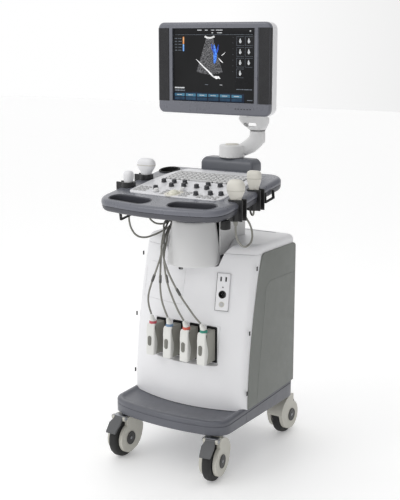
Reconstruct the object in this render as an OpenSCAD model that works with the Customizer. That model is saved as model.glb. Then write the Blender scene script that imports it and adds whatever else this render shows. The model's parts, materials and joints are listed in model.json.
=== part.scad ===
// Cart-mounted ultrasound scanner: four casters, a base, a body with probe ports,
// a tilted control console on a neck, and a monitor on a jointed arm.
// Origin: on the floor, midway between the casters. +Y points to the back, +X to the right.

/* [Casters] */
// Diameter of each wheel
wheel_d = 125; // [119:1:125]
// Distance between the left and right swivel axes
track = 330; // [320:2:334]
// Distance between the front and rear swivel axes
wheelbase = 398; // [390:2:400]
// Distance of a wheel's centre from its swivel axis
trail = 25; // [23:1:27]
// Rest angle of the front left caster
fl_angle = 0; // [-20:1:0]
// Rest angle of the front right caster
fr_angle = 9; // [0:1:20]

/* [Base] */
// Width of the base cover
base_w = 410; // [400:2:414]
// Distance from the origin to the middle of the bowed front edge
base_front = 253; // [250:1:258]
// Distance from the origin to the back edge
base_back = 228; // [224:1:230]
// Height of the base cover's lower edge
base_z = 140; // [140:1:142]
// Height of the sloping deck at its front edge
deck_front_z = 182; // [180:1:186]
// Height of the sloping deck at its back edge
deck_back_z = 203; // [200:1:206]

/* [Body] */
// Width of the white body shell
body_w = 410; // [404:2:412]
// Distance from the origin to the back of the body
body_back = 200; // [198:1:204]
// Height of the seam below the top cover
seam_z = 652; // [648:1:656]
// Height of the top cover
top_z = 682; // [680:1:690]
// Wall of the moulded covers
wall = 4; // [3:0.5:5]
// How far the front face bows out at its middle
front_bow = 42; // [38:1:44]

/* [Probe ports] */
// Distance between neighbouring probe connectors
port_pitch = 62; // [60:1:63]
// Width of one connector
connector_w = 30; // [28:1:32]
// Height of one connector
connector_h = 103; // [98:1:108]

/* [Console] */
// Width of the console
console_w = 440; // [432:2:442]
// Tilt of the console deck up towards the back
deck_tilt = 8.6; // [8:0.1:9]
// Height of the deck above its pivot line
deck_z = 826; // [824:1:830]
// Thickness of the rim
rim_h = 38; // [36:1:40]
// Width of the white control panel
panel_w = 330; // [326:2:332]
// Radius of the gel bottle cup
gel_r = 28; // [26:0.5:29]

/* [Monitor] */
// Width of the bezel
monitor_w = 406; // [400:2:410]
// Height of the bezel
monitor_h = 280; // [276:2:284]
// Width of the visible screen
screen_w = 298; // [294:1:300]
// Height of the visible screen
screen_h = 224; // [220:1:226]
// Height of the monitor's centre
monitor_z = 1195; // [1190:1:1200]

/* [Hidden] */

$fn = 48;
white = [0.90, 0.90, 0.89];
slate = [0.42, 0.43, 0.47];
grey = [0.46, 0.47, 0.46];
cream = [0.82, 0.81, 0.77];
black = [0.10, 0.10, 0.11];
steel = [0.62, 0.63, 0.65];

gap = 0.4;
fit = 0.05;
slice = 0.01;
far = 900;

// Casters
wheel_r = wheel_d / 2;
tyre_w = 28;
fork_in = 16;
fork_out = 28;
hood_r = 71;
axle_r = 5;
stem_r = 9;
swivel_z = 137;
pedal_y = -46;
pedal_z = 129;
pedal_pin_r = 3;

// Base
base_hw = base_w / 2;
base_corner = 28;
base_bow = 29;
base_slope = atan((deck_back_z - deck_front_z) / (base_back + base_front));
frame_z0 = 146;
frame_z1 = 176;

// Body
body_hw = body_w / 2;
body_z0 = 150;
panel_t = 5;
split_y = 24;
rear_split_y = 150;
front_slices = [body_z0, 240, 320, 400, 480, 560, 610, seam_z];

// Neck
neck_y = -68;
neck_top_r = 66;
neck_foot_r = 84;
neck_foot_z = 613;
neck_top_z = 748;
scoop_z = 612;
column_hw = 40;
rear_hw = 78;
rear_back = 105;

// Probe ports
bay_hw = 122;
bay_z0 = 318;
bay_z1 = 438;
port_y = -112;
connector_d = 66;
port_z = 326;
boot_y = -160;
boot_leans = [17, 20, 29, 31];

// Side plate of the input sockets
io_pos = [118, -92, 541];
io_w = 40;
io_h = 112;
io_turn = 13;
io_lean = -14;
io_t = 4;
ecg_r = 10.5;
ecg_depth = 14;
button_r = 6;

// Console, in deck coordinates: x, distance back along the deck, height above the deck
deck_y = -245;
console_hw = console_w / 2;
console_front = -54;
console_back = 362;
front_bow_r = 865;
front_corner = 60;
back_corner = 55;
mid_n = -19;
skin = 4;
panel_front = 52;
panel_back = 336;
panel_top = 3;
key_top = 6;
key_floor = -1;
panel_z = -9;
handle_x = 109;
handle_s = -3;
handle_turn = 6.5;
handle_l = 150;
handle_w = 52;
gel_pos = [-178, 306];
gel_depth = 60;
trackball_pos = [-7, 78];
trackball_r = 19;
gain_pos = [-87, 100];
depth_pos = [-105, 170];
knob_r = 7;
knob_spots = [[-68, 172], [-31, 175], [-55, 137], [-16, 146], [30, 146], [53, 175],
              [69, 141], [95, 175], [70, 80], [110, 96], [144, 100]];
key_rows = 5;
key_columns = 15;
key_pitch = 17;
key_w = 13;
key_pocket = [[-132, 205], [132, 300]];
function_spots = [for (x = [-146, -130, -114]) for (s = [76, 92, 108]) [x, s],
                  for (x = [90, 108, 126, 144]) for (s = [62, 76]) [x, s],
                  for (x = [-40, 26, 42]) for (s = [62, 78, 94]) [x, s]];

// Holders, upright cups in the rim: x, y and the heights of the cup's two ends
cup_r = 22;
cup_wall = 5;
cup_slot = 20;
right_fin = 29;
left_fin = 37;
right_cups = [[203, -163, 779, 841], [200, -55, 794, 856]];
left_cups = [[-196, -138, 794, 856], [-192, -50, 808, 870]];
left_cup_r = 22;
peg_pos = [-rear_hw, -36, 728];
hook_drop = 50;
hook_l = 54;

// Arm and monitor
hub = [0, 150];
hub_r = 38;
hub_z0 = 916;
hub_z1 = 956;
post = [63, 203];
post_r = 25;
post_z = 1000;
pivot_r = 12;
post_pin_r = 10;
monitor_x = -25;
monitor_y = 71;
bezel_t = 14;
shell_back = 131;
tilt_y = 150;
tilt_z = 1085;
tilt_pin_r = 5;
barrel_r = 12;
barrel_l = 56;
screen_dz = 10;

// Cables: every route runs from the connector's boot to the foot of its probe
cable_r = 3;
cable_sides = 8;
boot_foot = 6;
boot_l = 20;
wide_route = [[-99, -160, 455], [-106, -162, 480], [-107, -164, 508], [-93, -165, 556],
    [-75, -163, 602], [-67, -149, 651], [-71.1, -142.2, 670.6], [-70.5, -131.9, 685.8],
    [-84, -110, 708], [-104, -80, 726], [-112, -50, 735], [-114, -36, 737], [-119, -22, 733],
    [-128, -14, 724], [-140, -18, 715], [-158, -32, 712], [-174, -44, 720], [-186, -49, 738],
    [-192, -50, 764], [-192, -50, 790]];
narrow_route = [[-38, -160, 454], [-46, -164, 478], [-53, -168, 506], [-59, -168, 553],
    [-67, -154, 605], [-77, -135, 650], [-84.1, -119.3, 682.8], [-89.6, -102.2, 704.1],
    [-99, -72, 722], [-104, -48, 734], [-105, -36, 737], [-108, -22, 732], [-114, -16, 722],
    [-122, -24, 708], [-134, -50, 694], [-148, -80, 684], [-164, -106, 680],
    [-178, -124, 688], [-188, -134, 706], [-195, -138, 732], [-196, -138, 756],
    [-196, -138, 776]];
convex_route = [[21, -160, 453], [8, -166, 478], [-3, -172, 506], [-24, -176, 559],
    [-45, -164, 611], [-62, -141, 649], [-65.3, -128.2, 667.5], [-68.6, -117.6, 684.9],
    [-77.5, -96, 704.2], [-83.8, -68, 722.1], [-87.9, -48, 734], [-89, -36, 737],
    [-88, -18, 746], [-88, 6, 768], [-88, 28, 796], [-88, 48, 817], [-88, 68, 829],
    [-88, 92, 833], [-83, 108, 835], [-68, 117, 836], [-46, 119, 836], [0, 119, 836],
    [48, 117, 836], [86, 108, 835], [114, 90, 832], [134, 64, 828], [144, 34, 824],
    [150, 0, 818], [158, -36, 812], [167, -62, 806], [176, -80, 798], [186, -88, 786],
    [197, -88, 770], [206, -84, 752], [211, -82, 731], [213, -88, 709], [212, -106, 697],
    [210, -126, 697], [207, -146, 709], [204, -159, 731], [203, -163, 751], [203, -163, 763]];
linear_route = [[82, -160, 453], [68, -170, 474], [54, -177, 496], [30, -185, 532],
    [0, -186, 575], [-29, -178, 617], [-53, -160, 653], [-64.5, -137.3, 670.4],
    [-77.8, -117.5, 686.9], [-86, -89.9, 704.8], [-91.2, -62, 722.9], [-96, -46, 734],
    [-97, -36, 737], [-96, -16, 747], [-96, 8, 770], [-96, 32, 800], [-96, 52, 820],
    [-96, 72, 829], [-96, 98, 833], [-88, 117, 835], [-70, 127, 837], [-50, 128, 837],
    [0, 128, 838], [50, 126, 837], [92, 116, 836], [121, 98, 833], [141, 70, 829],
    [152, 36, 824], [158, 4, 818], [164, -16, 808], [176, -34, 790], [188, -48, 779],
    [197, -54, 778], [200, -55, 787], [200, -55, 798]];

function arc(cx, cy, r, a0, a1, steps) =
    [for (i = [0:steps]) [cx + r * cos(a0 + (a1 - a0) * i / steps),
                          cy + r * sin(a0 + (a1 - a0) * i / steps)]];
function mirrored(points) = [for (i = [len(points) - 1:-1:0]) [-points[i][0], points[i][1]]];

// ---------- shared shapes ----------

module rounded_rect(w, h, r) {
    square([w - 2 * r, h], center = true);
    square([w, h - 2 * r], center = true);
    for (x = [-1, 1])
        for (y = [-1, 1])
            translate([x * (w / 2 - r), y * (h / 2 - r)]) circle(r);
}

module slot2d(length, width) {
    square([length - width, width], center = true);
    for (x = [-1, 1]) translate([x * (length - width) / 2, 0]) circle(d = width);
}

module deck() {
    translate([0, deck_y, deck_z]) rotate([deck_tilt, 0, 0]) children();
}

// Space above the sloping top of the base
module above_base() {
    translate([0, -base_front, deck_front_z + gap]) rotate([base_slope, 0, 0])
        translate([-far / 2, -100, 0]) cube([far, far, far]);
}

// Space under the console
module below_console() {
    deck() translate([-far / 2, -200, -rim_h - gap - far]) cube([far, far, far]);
}

// ---------- base ----------

module base_plan(inset) {
    hw = base_hw - inset;
    r = base_corner - inset;
    bow_r = (base_hw * base_hw + base_bow * base_bow) / (2 * base_bow);
    corner_y = -base_front + base_bow + inset - 6;
    half = concat(
        [for (x = [0:24:144]) [x, -base_front + inset + x * x / (2 * bow_r)]],
        arc(hw - r, corner_y + r, r, -68, 0, 6),
        arc(hw - r, base_back - inset - r, r, 0, 90, 6));
    polygon(concat(half, mirrored(half)));
}

module base_slope_cut() {
    translate([0, -base_front, deck_front_z]) rotate([base_slope, 0, 0])
        translate([-far / 2, -100, 0]) cube([far, far, 200]);
}

module base_cover() {
    color(slate) difference() {
        translate([0, 0, base_z]) linear_extrude(80) base_plan(0);
        base_slope_cut();
        translate([0, 0, base_z - 1]) linear_extrude(deck_front_z - wall - base_z)
            base_plan(wall);
        translate([0, 0, 160]) linear_extrude(60)
            square([2 * column_hw + 8, 2 * column_hw + 8], center = true);
    }
}

module chassis_frame() {
    color(steel) difference() {
        union() {
            translate([0, 0, frame_z1 - 8]) linear_extrude(8)
                square([track + 40, wheelbase + 20], center = true);
            for (x = [-1, 1]) translate([x * 100 - 15, -180, frame_z0]) cube([30, 360, 22]);
            for (y = [-1, 1]) translate([-180, y * 150 - 12, frame_z0]) cube([360, 24, 22]);
            for (x = [-1, 1])
                for (y = [-1, 1])
                    translate([x * track / 2, y * wheelbase / 2, swivel_z + gap])
                        cylinder(h = frame_z1 - swivel_z - gap, r = 16);
        }
        for (x = [-1, 1])
            for (y = [-1, 1])
                translate([x * track / 2, y * wheelbase / 2, swivel_z - 1])
                    cylinder(h = 31, r = stem_r + fit);
    }
}

// ---------- body ----------

function front_y(z) = let (h = max(z, 222) - 222) -106 + 0.05 * h + 0.000287 * h * h;

module body_plan(z, inset) {
    hw = body_hw - inset;
    y = front_y(z) + inset;
    half = concat(
        [for (x = [0:0.125:0.875]) [x * hw, y - front_bow * (1 - x * x)]],
        [[hw - 12, y - 3], [hw - 4, y + 5], [hw, y + 17]],
        arc(hw - 14, body_back - inset - 14, 14, 0, 90, 4));
    polygon(concat(half, mirrored([for (i = [1:len(half) - 1]) half[i]])));
}

module body_solid(inset, z1) {
    hull() for (z = front_slices)
        translate([0, 0, min(z, z1)]) linear_extrude(slice) body_plan(min(z, z1), inset);
}

module neck_scoop(extra) {
    translate([0, neck_y, scoop_z - extra]) cylinder(h = 100, r1 = 92 + extra, r2 = 124 + extra);
}

module column_hole() {
    translate([-rear_hw - 2, neck_y, scoop_z]) cube([2 * rear_hw + 4, rear_back + 2 - neck_y, 120]);
}

module bay_opening() {
    translate([-bay_hw, -300, bay_z0]) cube([2 * bay_hw, 300, bay_z1 - bay_z0]);
}

module door_block(inset) {
    translate([-182 + inset, -200, 487 + inset])
        cube([165 - 2 * inset, 180, 112 - 2 * inset]);
}

module io_frame() {
    translate(io_pos) rotate([0, 0, io_turn]) rotate([io_lean, 0, 0]) children();
}

module front_cover() {
    color(white) difference() {
        intersection() {
            union() {
                difference() {
                    body_solid(0, seam_z);
                    body_solid(wall, seam_z + 20);
                }
                intersection() {
                    body_solid(0, seam_z);
                    difference() {
                        neck_scoop(wall);
                        neck_scoop(0);
                    }
                    translate([-far / 2, -far / 2, scoop_z - wall])
                        cube([far, far / 2 + split_y, 100]);
                }
            }
            above_base();
            translate([-far / 2, -far, 0]) cube([far, far + split_y, seam_z]);
        }
        translate([-body_hw + 40, -20, 100]) cube([2 * body_hw - 80, 100, 480]);
        neck_scoop(0);
        column_hole();
        translate([-column_hw - 3, -column_hw - 3, 500])
            cube([2 * column_hw + 6, 2 * column_hw + 6, 200]);
        bay_opening();
        door_block(0);
        io_frame() translate([-io_w / 2 - gap, -60, -io_h / 2 - gap])
            cube([io_w + 2 * gap, 120, io_h + 2 * gap]);
    }
}

module access_door() {
    color(white) intersection() {
        difference() {
            body_solid(0, seam_z);
            body_solid(wall, seam_z + 20);
        }
        difference() {
            door_block(gap * 2);
            neck_scoop(wall + 1);
        }
    }
}

module side_panel(side) {
    color(grey) translate([side > 0 ? body_hw : -body_hw - panel_t, 0, 0])
        intersection() {
            rotate([90, 0, 90]) linear_extrude(panel_t)
                polygon(concat(
                    [for (z = [186:40:626]) [front_y(z) + 17, z]],
                    [[front_y(640) + 21, 648], [front_y(648) + 30, 655]],
                    arc(body_back - 14, 641, 14, 90, 0, 4),
                    [[body_back, 190]]));
            above_base();
        }
}

module left_side_panel() {
    side_panel(-1);
    color(grey) side_ribs(-1);
}

module right_side_panel() {
    side_panel(1);
    color(grey) side_ribs(1);
}

// Stiffening ribs on the inner face of a side panel
module side_ribs(side) {
    for (y = [60, 110])
        translate([side > 0 ? body_hw - 8 : -body_hw, y, 215]) cube([8, 6, 420]);
}

module rear_cover() {
    color(white) difference() {
        intersection() {
            difference() {
                body_solid(0, seam_z);
                body_solid(wall, seam_z + 20);
            }
            above_base();
            translate([-far / 2, rear_split_y, 0]) cube([far, far, seam_z]);
        }
        for (z = [420:18:600])
            translate([-120, body_back - 20, z]) cube([240, 40, 8]);
        translate([-150, body_back - 20, 226]) cube([52, 40, 34]);
    }
}

module mains_inlet() {
    color(black) difference() {
        translate([-150 + gap, body_back - 34, 226 + gap])
            cube([52 - 2 * gap, 36, 34 - 2 * gap]);
        translate([-136, body_back - 16, 234]) cube([24, 30, 18]);
    }
}

module top_cover() {
    color(white) difference() {
        union() {
            difference() {
                top_block(0, top_z);
                top_block(wall, top_z - wall);
            }
            intersection() {
                top_block(0, top_z);
                neck_scoop(wall);
            }
        }
        neck_scoop(0);
        column_hole();
        translate([0, 140, top_z - 2]) linear_extrude(10) rounded_rect(300, 90, 10);
    }
}

module top_block(inset, z1) {
    z0 = seam_z + gap - (inset > 0 ? 20 : 0);
    hull() {
        translate([0, 0, z0]) linear_extrude(slice) body_plan(seam_z, inset);
        translate([0, 0, z1 - 12]) linear_extrude(slice) body_plan(z1 - 12, inset + 1);
        translate([0, 0, z1 - 4]) linear_extrude(slice) body_plan(z1 - 4, inset + 4);
        translate([0, 0, z1 - slice]) linear_extrude(slice) body_plan(z1, inset + 11);
    }
}

// ---------- probe ports ----------

module connector_bay() {
    color(white) difference() {
        translate([-bay_hw + gap, port_y - 2, bay_z0 + gap])
            cube([2 * (bay_hw - gap), 46, bay_z1 - bay_z0 - 2 * gap]);
        translate([-bay_hw + 4, port_y - 6, bay_z0 + 4])
            cube([2 * bay_hw - 8, 6 + gap, bay_z1 - bay_z0 - 8]);
    }
}

module connector(lean) {
    translate([-connector_w / 2, port_y - connector_d, port_z])
        cube([connector_w, connector_d, connector_h]);
    translate([0, boot_y, port_z + connector_h]) {
        cylinder(h = boot_foot, r = 11);
        translate([0, 0, boot_foot - 1]) rotate([0, -lean, 0])
            cylinder(h = boot_l, r1 = 9, r2 = 5);
    }
}

module probe_connectors() {
    color(cream) for (i = [0:3])
        translate([(i - 1.5) * port_pitch, 0, 0]) connector(boot_leans[i]);
}

// ---------- input socket plate ----------

module io_panel() {
    color(white) io_frame() difference() {
        translate([-io_w / 2, -io_t, -io_h / 2]) cube([io_w, io_t + 12, io_h]);
        translate([0, ecg_depth - io_t, -8]) rotate([90, 0, 0]) cylinder(h = 40, r = ecg_r);
        for (x = [-8, 8]) translate([x - 2.5, -io_t - 1, 32]) cube([5, 10, 13]);
        translate([0, 6, -38]) rotate([90, 0, 0]) cylinder(h = 40, r = button_r + gap);
    }
}

module power_button() {
    color(white) io_frame()
        translate([0, 2, -38]) rotate([90, 0, 0]) cylinder(h = 8, r = button_r);
}

// ---------- inside the body ----------

module power_supply() {
    color(steel) translate([-180, -30, 215]) cube([120, 190, 90]);
}

module main_electronics() {
    color(steel) {
        translate([60, -30, 215]) cube([120, 190, 12]);
        for (x = [62:19:176]) translate([x, -26, 227]) cube([3, 180, 190]);
        translate([60, 156, 227]) cube([120, 4, 190]);
    }
}

module neck_column() {
    color(steel) intersection() {
        difference() {
            translate([-column_hw, -column_hw, frame_z1]) cube([2 * column_hw, 2 * column_hw, 700]);
            translate([-column_hw + 5, -column_hw + 5, frame_z1 - 1])
                cube([2 * column_hw - 10, 2 * column_hw - 10, 590]);
        }
        below_console();
    }
}

// ---------- neck ----------

module neck_cone(inset) {
    translate([0, neck_y, neck_foot_z - inset])
        cylinder(h = neck_top_z - neck_foot_z + 2 * inset,
                 r1 = neck_foot_r - inset, r2 = neck_top_r - inset);
}

module neck_front_cover() {
    color(white) difference() {
        neck_cone(0);
        neck_cone(wall);
        translate([-200, -45, 500]) cube([400, 400, 400]);
    }
}

module neck_rear_cover() {
    color(white) intersection() {
        difference() {
            translate([-rear_hw, -44, 640]) cube([2 * rear_hw, rear_back + 44, 260]);
            translate([-rear_hw + wall, -50, 600])
                cube([2 * (rear_hw - wall), rear_back + 50 - wall, 400]);
            neck_cone(-0.5);
        }
        below_console();
    }
}

module neck_collar() {
    color(slate) intersection() {
        difference() {
            translate([0, neck_y, neck_top_z + gap]) cylinder(h = 80, r1 = 64, r2 = 74);
            translate([0, neck_y, neck_top_z - 1]) cylinder(h = 90, r1 = 60, r2 = 70);
            translate([-200, -44.5, 500]) cube([400, 400, 400]);
        }
        below_console();
    }
}

// ---------- console ----------

module console_plan(inset) {
    hw = console_hw - inset;
    fr = front_corner - inset;
    br = back_corner - inset;
    corner_x = console_hw - front_corner;
    corner_s = console_front + corner_x * corner_x / (2 * front_bow_r) + front_corner;
    half = concat(
        [for (x = [0:32:128]) [x, console_front + inset + x * x / (2 * front_bow_r)]],
        arc(corner_x, corner_s, fr, -80, 0, 7),
        arc(console_hw - back_corner, console_back - back_corner, br, 0, 90, 6));
    polygon(concat(half, mirrored([for (i = [1:len(half) - 1]) half[i]])));
}

module handle_slots(grow) {
    for (side = [-1, 1])
        translate([side * handle_x, handle_s, -60]) rotate([0, 0, side * handle_turn]) linear_extrude(100)
            slot2d(handle_l + 2 * grow, handle_w + 2 * grow);
}

module cups_space() {
    for (c = right_cups) cup_space(c, cup_r, 1);
    for (c = left_cups) cup_space(c, left_cup_r, -1);
}

module cup_space(c, r, side) {
    translate([c[0], c[1], 700]) cylinder(h = 300, r = r + gap);
    translate([side > 0 ? c[0] : c[0] - 80, c[1] - cup_slot / 2 - 4 - gap, 700])
        cube([80, cup_slot + 8 + 2 * gap, 300]);
}

module panel_plan(inset) {
    hw = panel_w / 2 - inset;
    half = concat(
        [[0, panel_front + inset - 4], [hw - 50, panel_front + inset]],
        arc(hw - 26, panel_front + inset + 28, 26, -80, 0, 5),
        [[hw, 190], [hw - 10, 270], [hw - 32, 318]],
        arc(hw - 50, panel_back - inset - 18, 16, 20, 90, 3));
    polygon(concat(half, mirrored([for (i = [1:len(half) - 1]) half[i]])));
}

module gel_space(r) {
    translate([gel_pos[0], gel_pos[1], -gel_depth - 10]) cylinder(h = gel_depth + 40, r = r);
}

module console_lower_shell() {
    color(slate) difference() {
        deck() difference() {
            union() {
                hull() {
                    translate([0, 0, -rim_h]) linear_extrude(slice) console_plan(12);
                    translate([0, 0, -rim_h + 6]) linear_extrude(slice) console_plan(3);
                    translate([0, 0, mid_n - slice]) linear_extrude(slice) console_plan(0);
                }
                translate([-82, console_back - 20, -rim_h]) cube([164, 84, 26]);
            }
            difference() {
                translate([0, 0, -rim_h + skin]) linear_extrude(60) console_plan(13);
                handle_slots(3);
                translate([-90, console_back - 24, -60]) cube([180, 200, 100]);
            }
            handle_slots(0);
            gel_space(gel_r + 3 + gap);
        }
        cups_space();
    }
}

module console_upper_shell() {
    color(slate) difference() {
        deck() difference() {
            hull() {
                translate([0, 0, mid_n + gap]) linear_extrude(slice) console_plan(0);
                translate([0, 0, -8]) linear_extrude(slice) console_plan(1.5);
                translate([0, 0, -3]) linear_extrude(slice) console_plan(6);
                translate([0, 0, -slice]) linear_extrude(slice) console_plan(13);
            }
            difference() {
                union() {
                    translate([0, 0, -60]) linear_extrude(47) console_plan(skin);
                    translate([0, 0, -60]) linear_extrude(60 - skin) console_plan(16);
                }
                handle_slots(3);
                translate([-90, console_back - 16, -60]) cube([180, 200, 100]);
            }
            handle_slots(0);
            gel_space(gel_r + 3 + gap);
            translate([0, 0, -30]) linear_extrude(60) panel_plan(0);
            translate([-84, console_back - 20.4, -60]) cube([168, 100, 60 - 11.6]);
        }
        cups_space();
    }
}

module control_panel() {
    color(white) deck() difference() {
        translate([0, 0, panel_z]) linear_extrude(panel_top - panel_z) panel_plan(gap);
        translate([key_pocket[0][0], key_pocket[0][1], key_floor - 3])
            cube([key_pocket[1][0] - key_pocket[0][0], key_pocket[1][1] - key_pocket[0][1], 20]);
        for (p = function_spots)
            translate([p[0], p[1], key_floor - 3]) cylinder(h = 20, r = 6.4, $fn = 24);
        translate([trackball_pos[0], trackball_pos[1], -5]) sphere(r = trackball_r + 0.6);
        for (p = concat(knob_spots, [gain_pos, depth_pos]))
            translate([p[0], p[1], -5]) cylinder(h = 20, r = 3.05);
    }
}

module alpha_keys() {
    color(cream) deck()
        for (row = [0:key_rows - 1])
            for (i = [0:key_columns - 1])
                translate([(i - (key_columns - 1) / 2) * key_pitch - key_w / 2,
                           key_pocket[0][1] + 8 + row * key_pitch, key_floor])
                    cube([key_w, key_w, key_top - key_floor]);
}

module function_keys() {
    color(cream) deck() for (p = function_spots)
        translate([p[0], p[1], key_floor]) cylinder(h = key_top - key_floor, r = 6, $fn = 24);
}

module knob(p, r) {
    translate([p[0], p[1], panel_top + 2]) cylinder(h = 11, r1 = r + 1, r2 = r);
    translate([p[0], p[1], -2.5]) cylinder(h = panel_top + 5, r = 3);
}

module encoder_knobs() {
    color(black) deck() for (p = knob_spots) knob(p, knob_r);
}

module gain_knob() {
    color(black) deck() knob(gain_pos, knob_r);
}

module depth_knob() {
    color(black) deck() knob(depth_pos, knob_r);
}

module trackball() {
    color(cream) deck() translate([trackball_pos[0], trackball_pos[1], -5])
        sphere(r = trackball_r);
}

module gel_cup() {
    color(black) deck() translate([gel_pos[0], gel_pos[1], 0]) difference() {
        union() {
            translate([0, 0, -gel_depth - 3]) cylinder(h = gel_depth + 3, r = gel_r + 3);
            translate([0, 0, gap]) cylinder(h = 3, r = gel_r + 6);
            cylinder(h = gap + 1, r = gel_r + 3);
        }
        translate([0, 0, -gel_depth]) cylinder(h = gel_depth + 20, r = gel_r);
    }
}

// An upright cup, open along its outer side so that a cable can slip in
module holder_cup(c, r, side) {
    height = c[3] - c[2];
    translate([c[0], c[1], c[2]]) difference() {
        union() {
            cylinder(h = height, r = r);
            for (y = [-1, 1])
                translate([side > 0 ? 12 : -left_fin, y * (cup_slot / 2 + 2) - 2, 0])
                    cube([(side > 0 ? right_fin : left_fin) - 12, 4, height]);
        }
        translate([0, 0, -1]) cylinder(h = height + 2, r = r - cup_wall);
        translate([side > 0 ? 0 : -60, -cup_slot / 2, -1]) cube([60, cup_slot, height + 2]);
    }
}

module left_probe_holders() {
    color(black) for (c = left_cups) holder_cup(c, left_cup_r, -1);
}

module right_probe_holders() {
    color(black) for (c = right_cups) holder_cup(c, cup_r, 1);
}

// A flat hook that lies along Y: a hanging bar, a foot and a turned-up end
module hook(drop, tip) {
    translate([0, -hook_l / 2, -drop]) cube([8, 5, drop]);
    translate([0, -hook_l / 2, -drop]) cube([8, hook_l, 5]);
    translate([0, hook_l / 2 - 5, -drop]) cube([8, 5, tip]);
}

// A bridge under the console that holds two cables side by side
module cable_clip(x, s, turn) {
    translate([x, s, -rim_h]) rotate([0, 0, turn]) difference() {
        translate([-14, -4, -15.5]) cube([28, 8, 15.5]);
        translate([-10.5, -5, -12.5]) cube([21, 10, 13.5]);
    }
}

module cable_hooks() {
    color(black) {
        deck() {
            translate([-190, 66, -rim_h]) hook(hook_drop, hook_drop - 10);
            translate([console_hw + gap, 236, -14]) hook(32, 26);
            cable_clip(-92.5, 311, 0);
            cable_clip(0, 364.5, 90);
            cable_clip(148, 277, 0);
        }
        translate(peg_pos) rotate([0, -90, 0]) {
            cylinder(h = 46, r = 4);
            translate([0, 0, 43]) cylinder(h = 3, r = 10);
        }
    }
}

module lock_knob() {
    color(black) intersection() {
        translate([196, -247, 764]) linear_extrude(60) rounded_rect(28, 34, 8);
        below_console();
    }
}

// ---------- probes ----------

module probe_body(c, handle_r, foot_z) {
    translate([c[0], c[1], foot_z]) cylinder(h = c[3] + 4 - foot_z, r1 = handle_r - 5, r2 = handle_r);
}

module probe_head(c, w, d, h, lift) {
    translate([c[0], c[1], c[3] + gap]) hull() {
        linear_extrude(slice) rounded_rect(34, 30, 12, $fn = 32);
        translate([0, 0, lift]) linear_extrude(slice) rounded_rect(w, d, d / 2 - 1, $fn = 32);
        translate([0, 0, h - slice]) linear_extrude(slice) rounded_rect(w - 14, d - 12, 5, $fn = 32);
    }
}

module wide_probe() {
    color(white) {
        probe_body(left_cups[1], 15, 790);
        probe_head(left_cups[1], 62, 34, 50, 30);
    }
}

module narrow_probe() {
    color(white) {
        probe_body(left_cups[0], 13, 776);
        probe_head(left_cups[0], 24, 24, 34, 16);
    }
}

module convex_probe() {
    color(cream) {
        probe_body(right_cups[0], 15, 763);
        probe_head(right_cups[0], 54, 40, 56, 30);
    }
}

module linear_probe() {
    color(cream) {
        probe_body(right_cups[1], 14, 798);
        probe_head(right_cups[1], 44, 26, 54, 26);
    }
}

// ---------- cables ----------

function unit(v) = v / norm(v);
function route_tangent(p, i) =
    i == 0 ? unit(p[1] - p[0])
    : i == len(p) - 1 ? unit(p[i] - p[i - 1])
    : unit(unit(p[i + 1] - p[i]) + unit(p[i] - p[i - 1]));
function next_side(u, t) = unit(u - (u * t) * t);
function route_sides(p, i) =
    i == 0 ? next_side([1, 0.2, 0], route_tangent(p, 0))
    : next_side(route_sides(p, i - 1), route_tangent(p, i));
function ring(p, i) =
    let (t = route_tangent(p, i), u = route_sides(p, i), v = cross(t, u))
    [for (k = [0:cable_sides - 1])
        p[i] + cable_r * (cos(k * 360 / cable_sides) * u + sin(k * 360 / cable_sides) * v)];

module cable(p) {
    last = (len(p) - 1) * cable_sides;
    polyhedron(
        points = [for (i = [0:len(p) - 1]) for (q = ring(p, i)) q],
        faces = concat(
            [[for (k = [0:cable_sides - 1]) k]],
            [for (i = [0:len(p) - 2]) for (k = [0:cable_sides - 1])
                let (a = i * cable_sides + k, b = i * cable_sides + (k + 1) % cable_sides)
                [a, a + cable_sides, b + cable_sides, b]],
            [[for (k = [cable_sides - 1:-1:0]) last + k]]),
        convexity = 8);
}

module wide_probe_cable() {
    color(grey) cable(wide_route);
}

module narrow_probe_cable() {
    color(grey) cable(narrow_route);
}

module convex_probe_cable() {
    color(grey) cable(convex_route);
}

module linear_probe_cable() {
    color(grey) cable(linear_route);
}

// ---------- pedestal, arm and monitor ----------

module pedestal() {
    color(slate) union() {
        intersection() {
            hull() {
                translate([0, 145, 860]) linear_extrude(slice) rounded_rect(192, 62, 14, $fn = 32);
                translate([0, 146, 906]) linear_extrude(slice) rounded_rect(184, 58, 14, $fn = 32);
                translate([0, 147, 915]) linear_extrude(slice) rounded_rect(168, 44, 12, $fn = 32);
            }
            deck() translate([-far / 2, 0, -12 + gap]) cube([far, far, far]);
        }
        translate([hub[0], hub[1], 905]) cylinder(h = 46, r = pivot_r);
    }
}

module monitor_arm() {
    color(white) difference() {
        union() {
            translate([hub[0], hub[1], hub_z0]) cylinder(h = hub_z1 - hub_z0, r = hub_r);
            hull() {
                translate([hub[0] + 20, hub[1] + 16, 920]) cylinder(h = 24, r = 17, $fn = 32);
                translate([post[0], post[1], 955]) cylinder(h = 30, r = post_r - 3, $fn = 32);
            }
            translate([post[0], post[1], 962]) cylinder(h = post_z - 962, r = post_r);
            translate([post[0], post[1], post_z - 1]) cylinder(h = 12, r = post_pin_r);
        }
        translate([hub[0], hub[1], hub_z0 - 1]) cylinder(h = 37, r = pivot_r + fit);
    }
}

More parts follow.
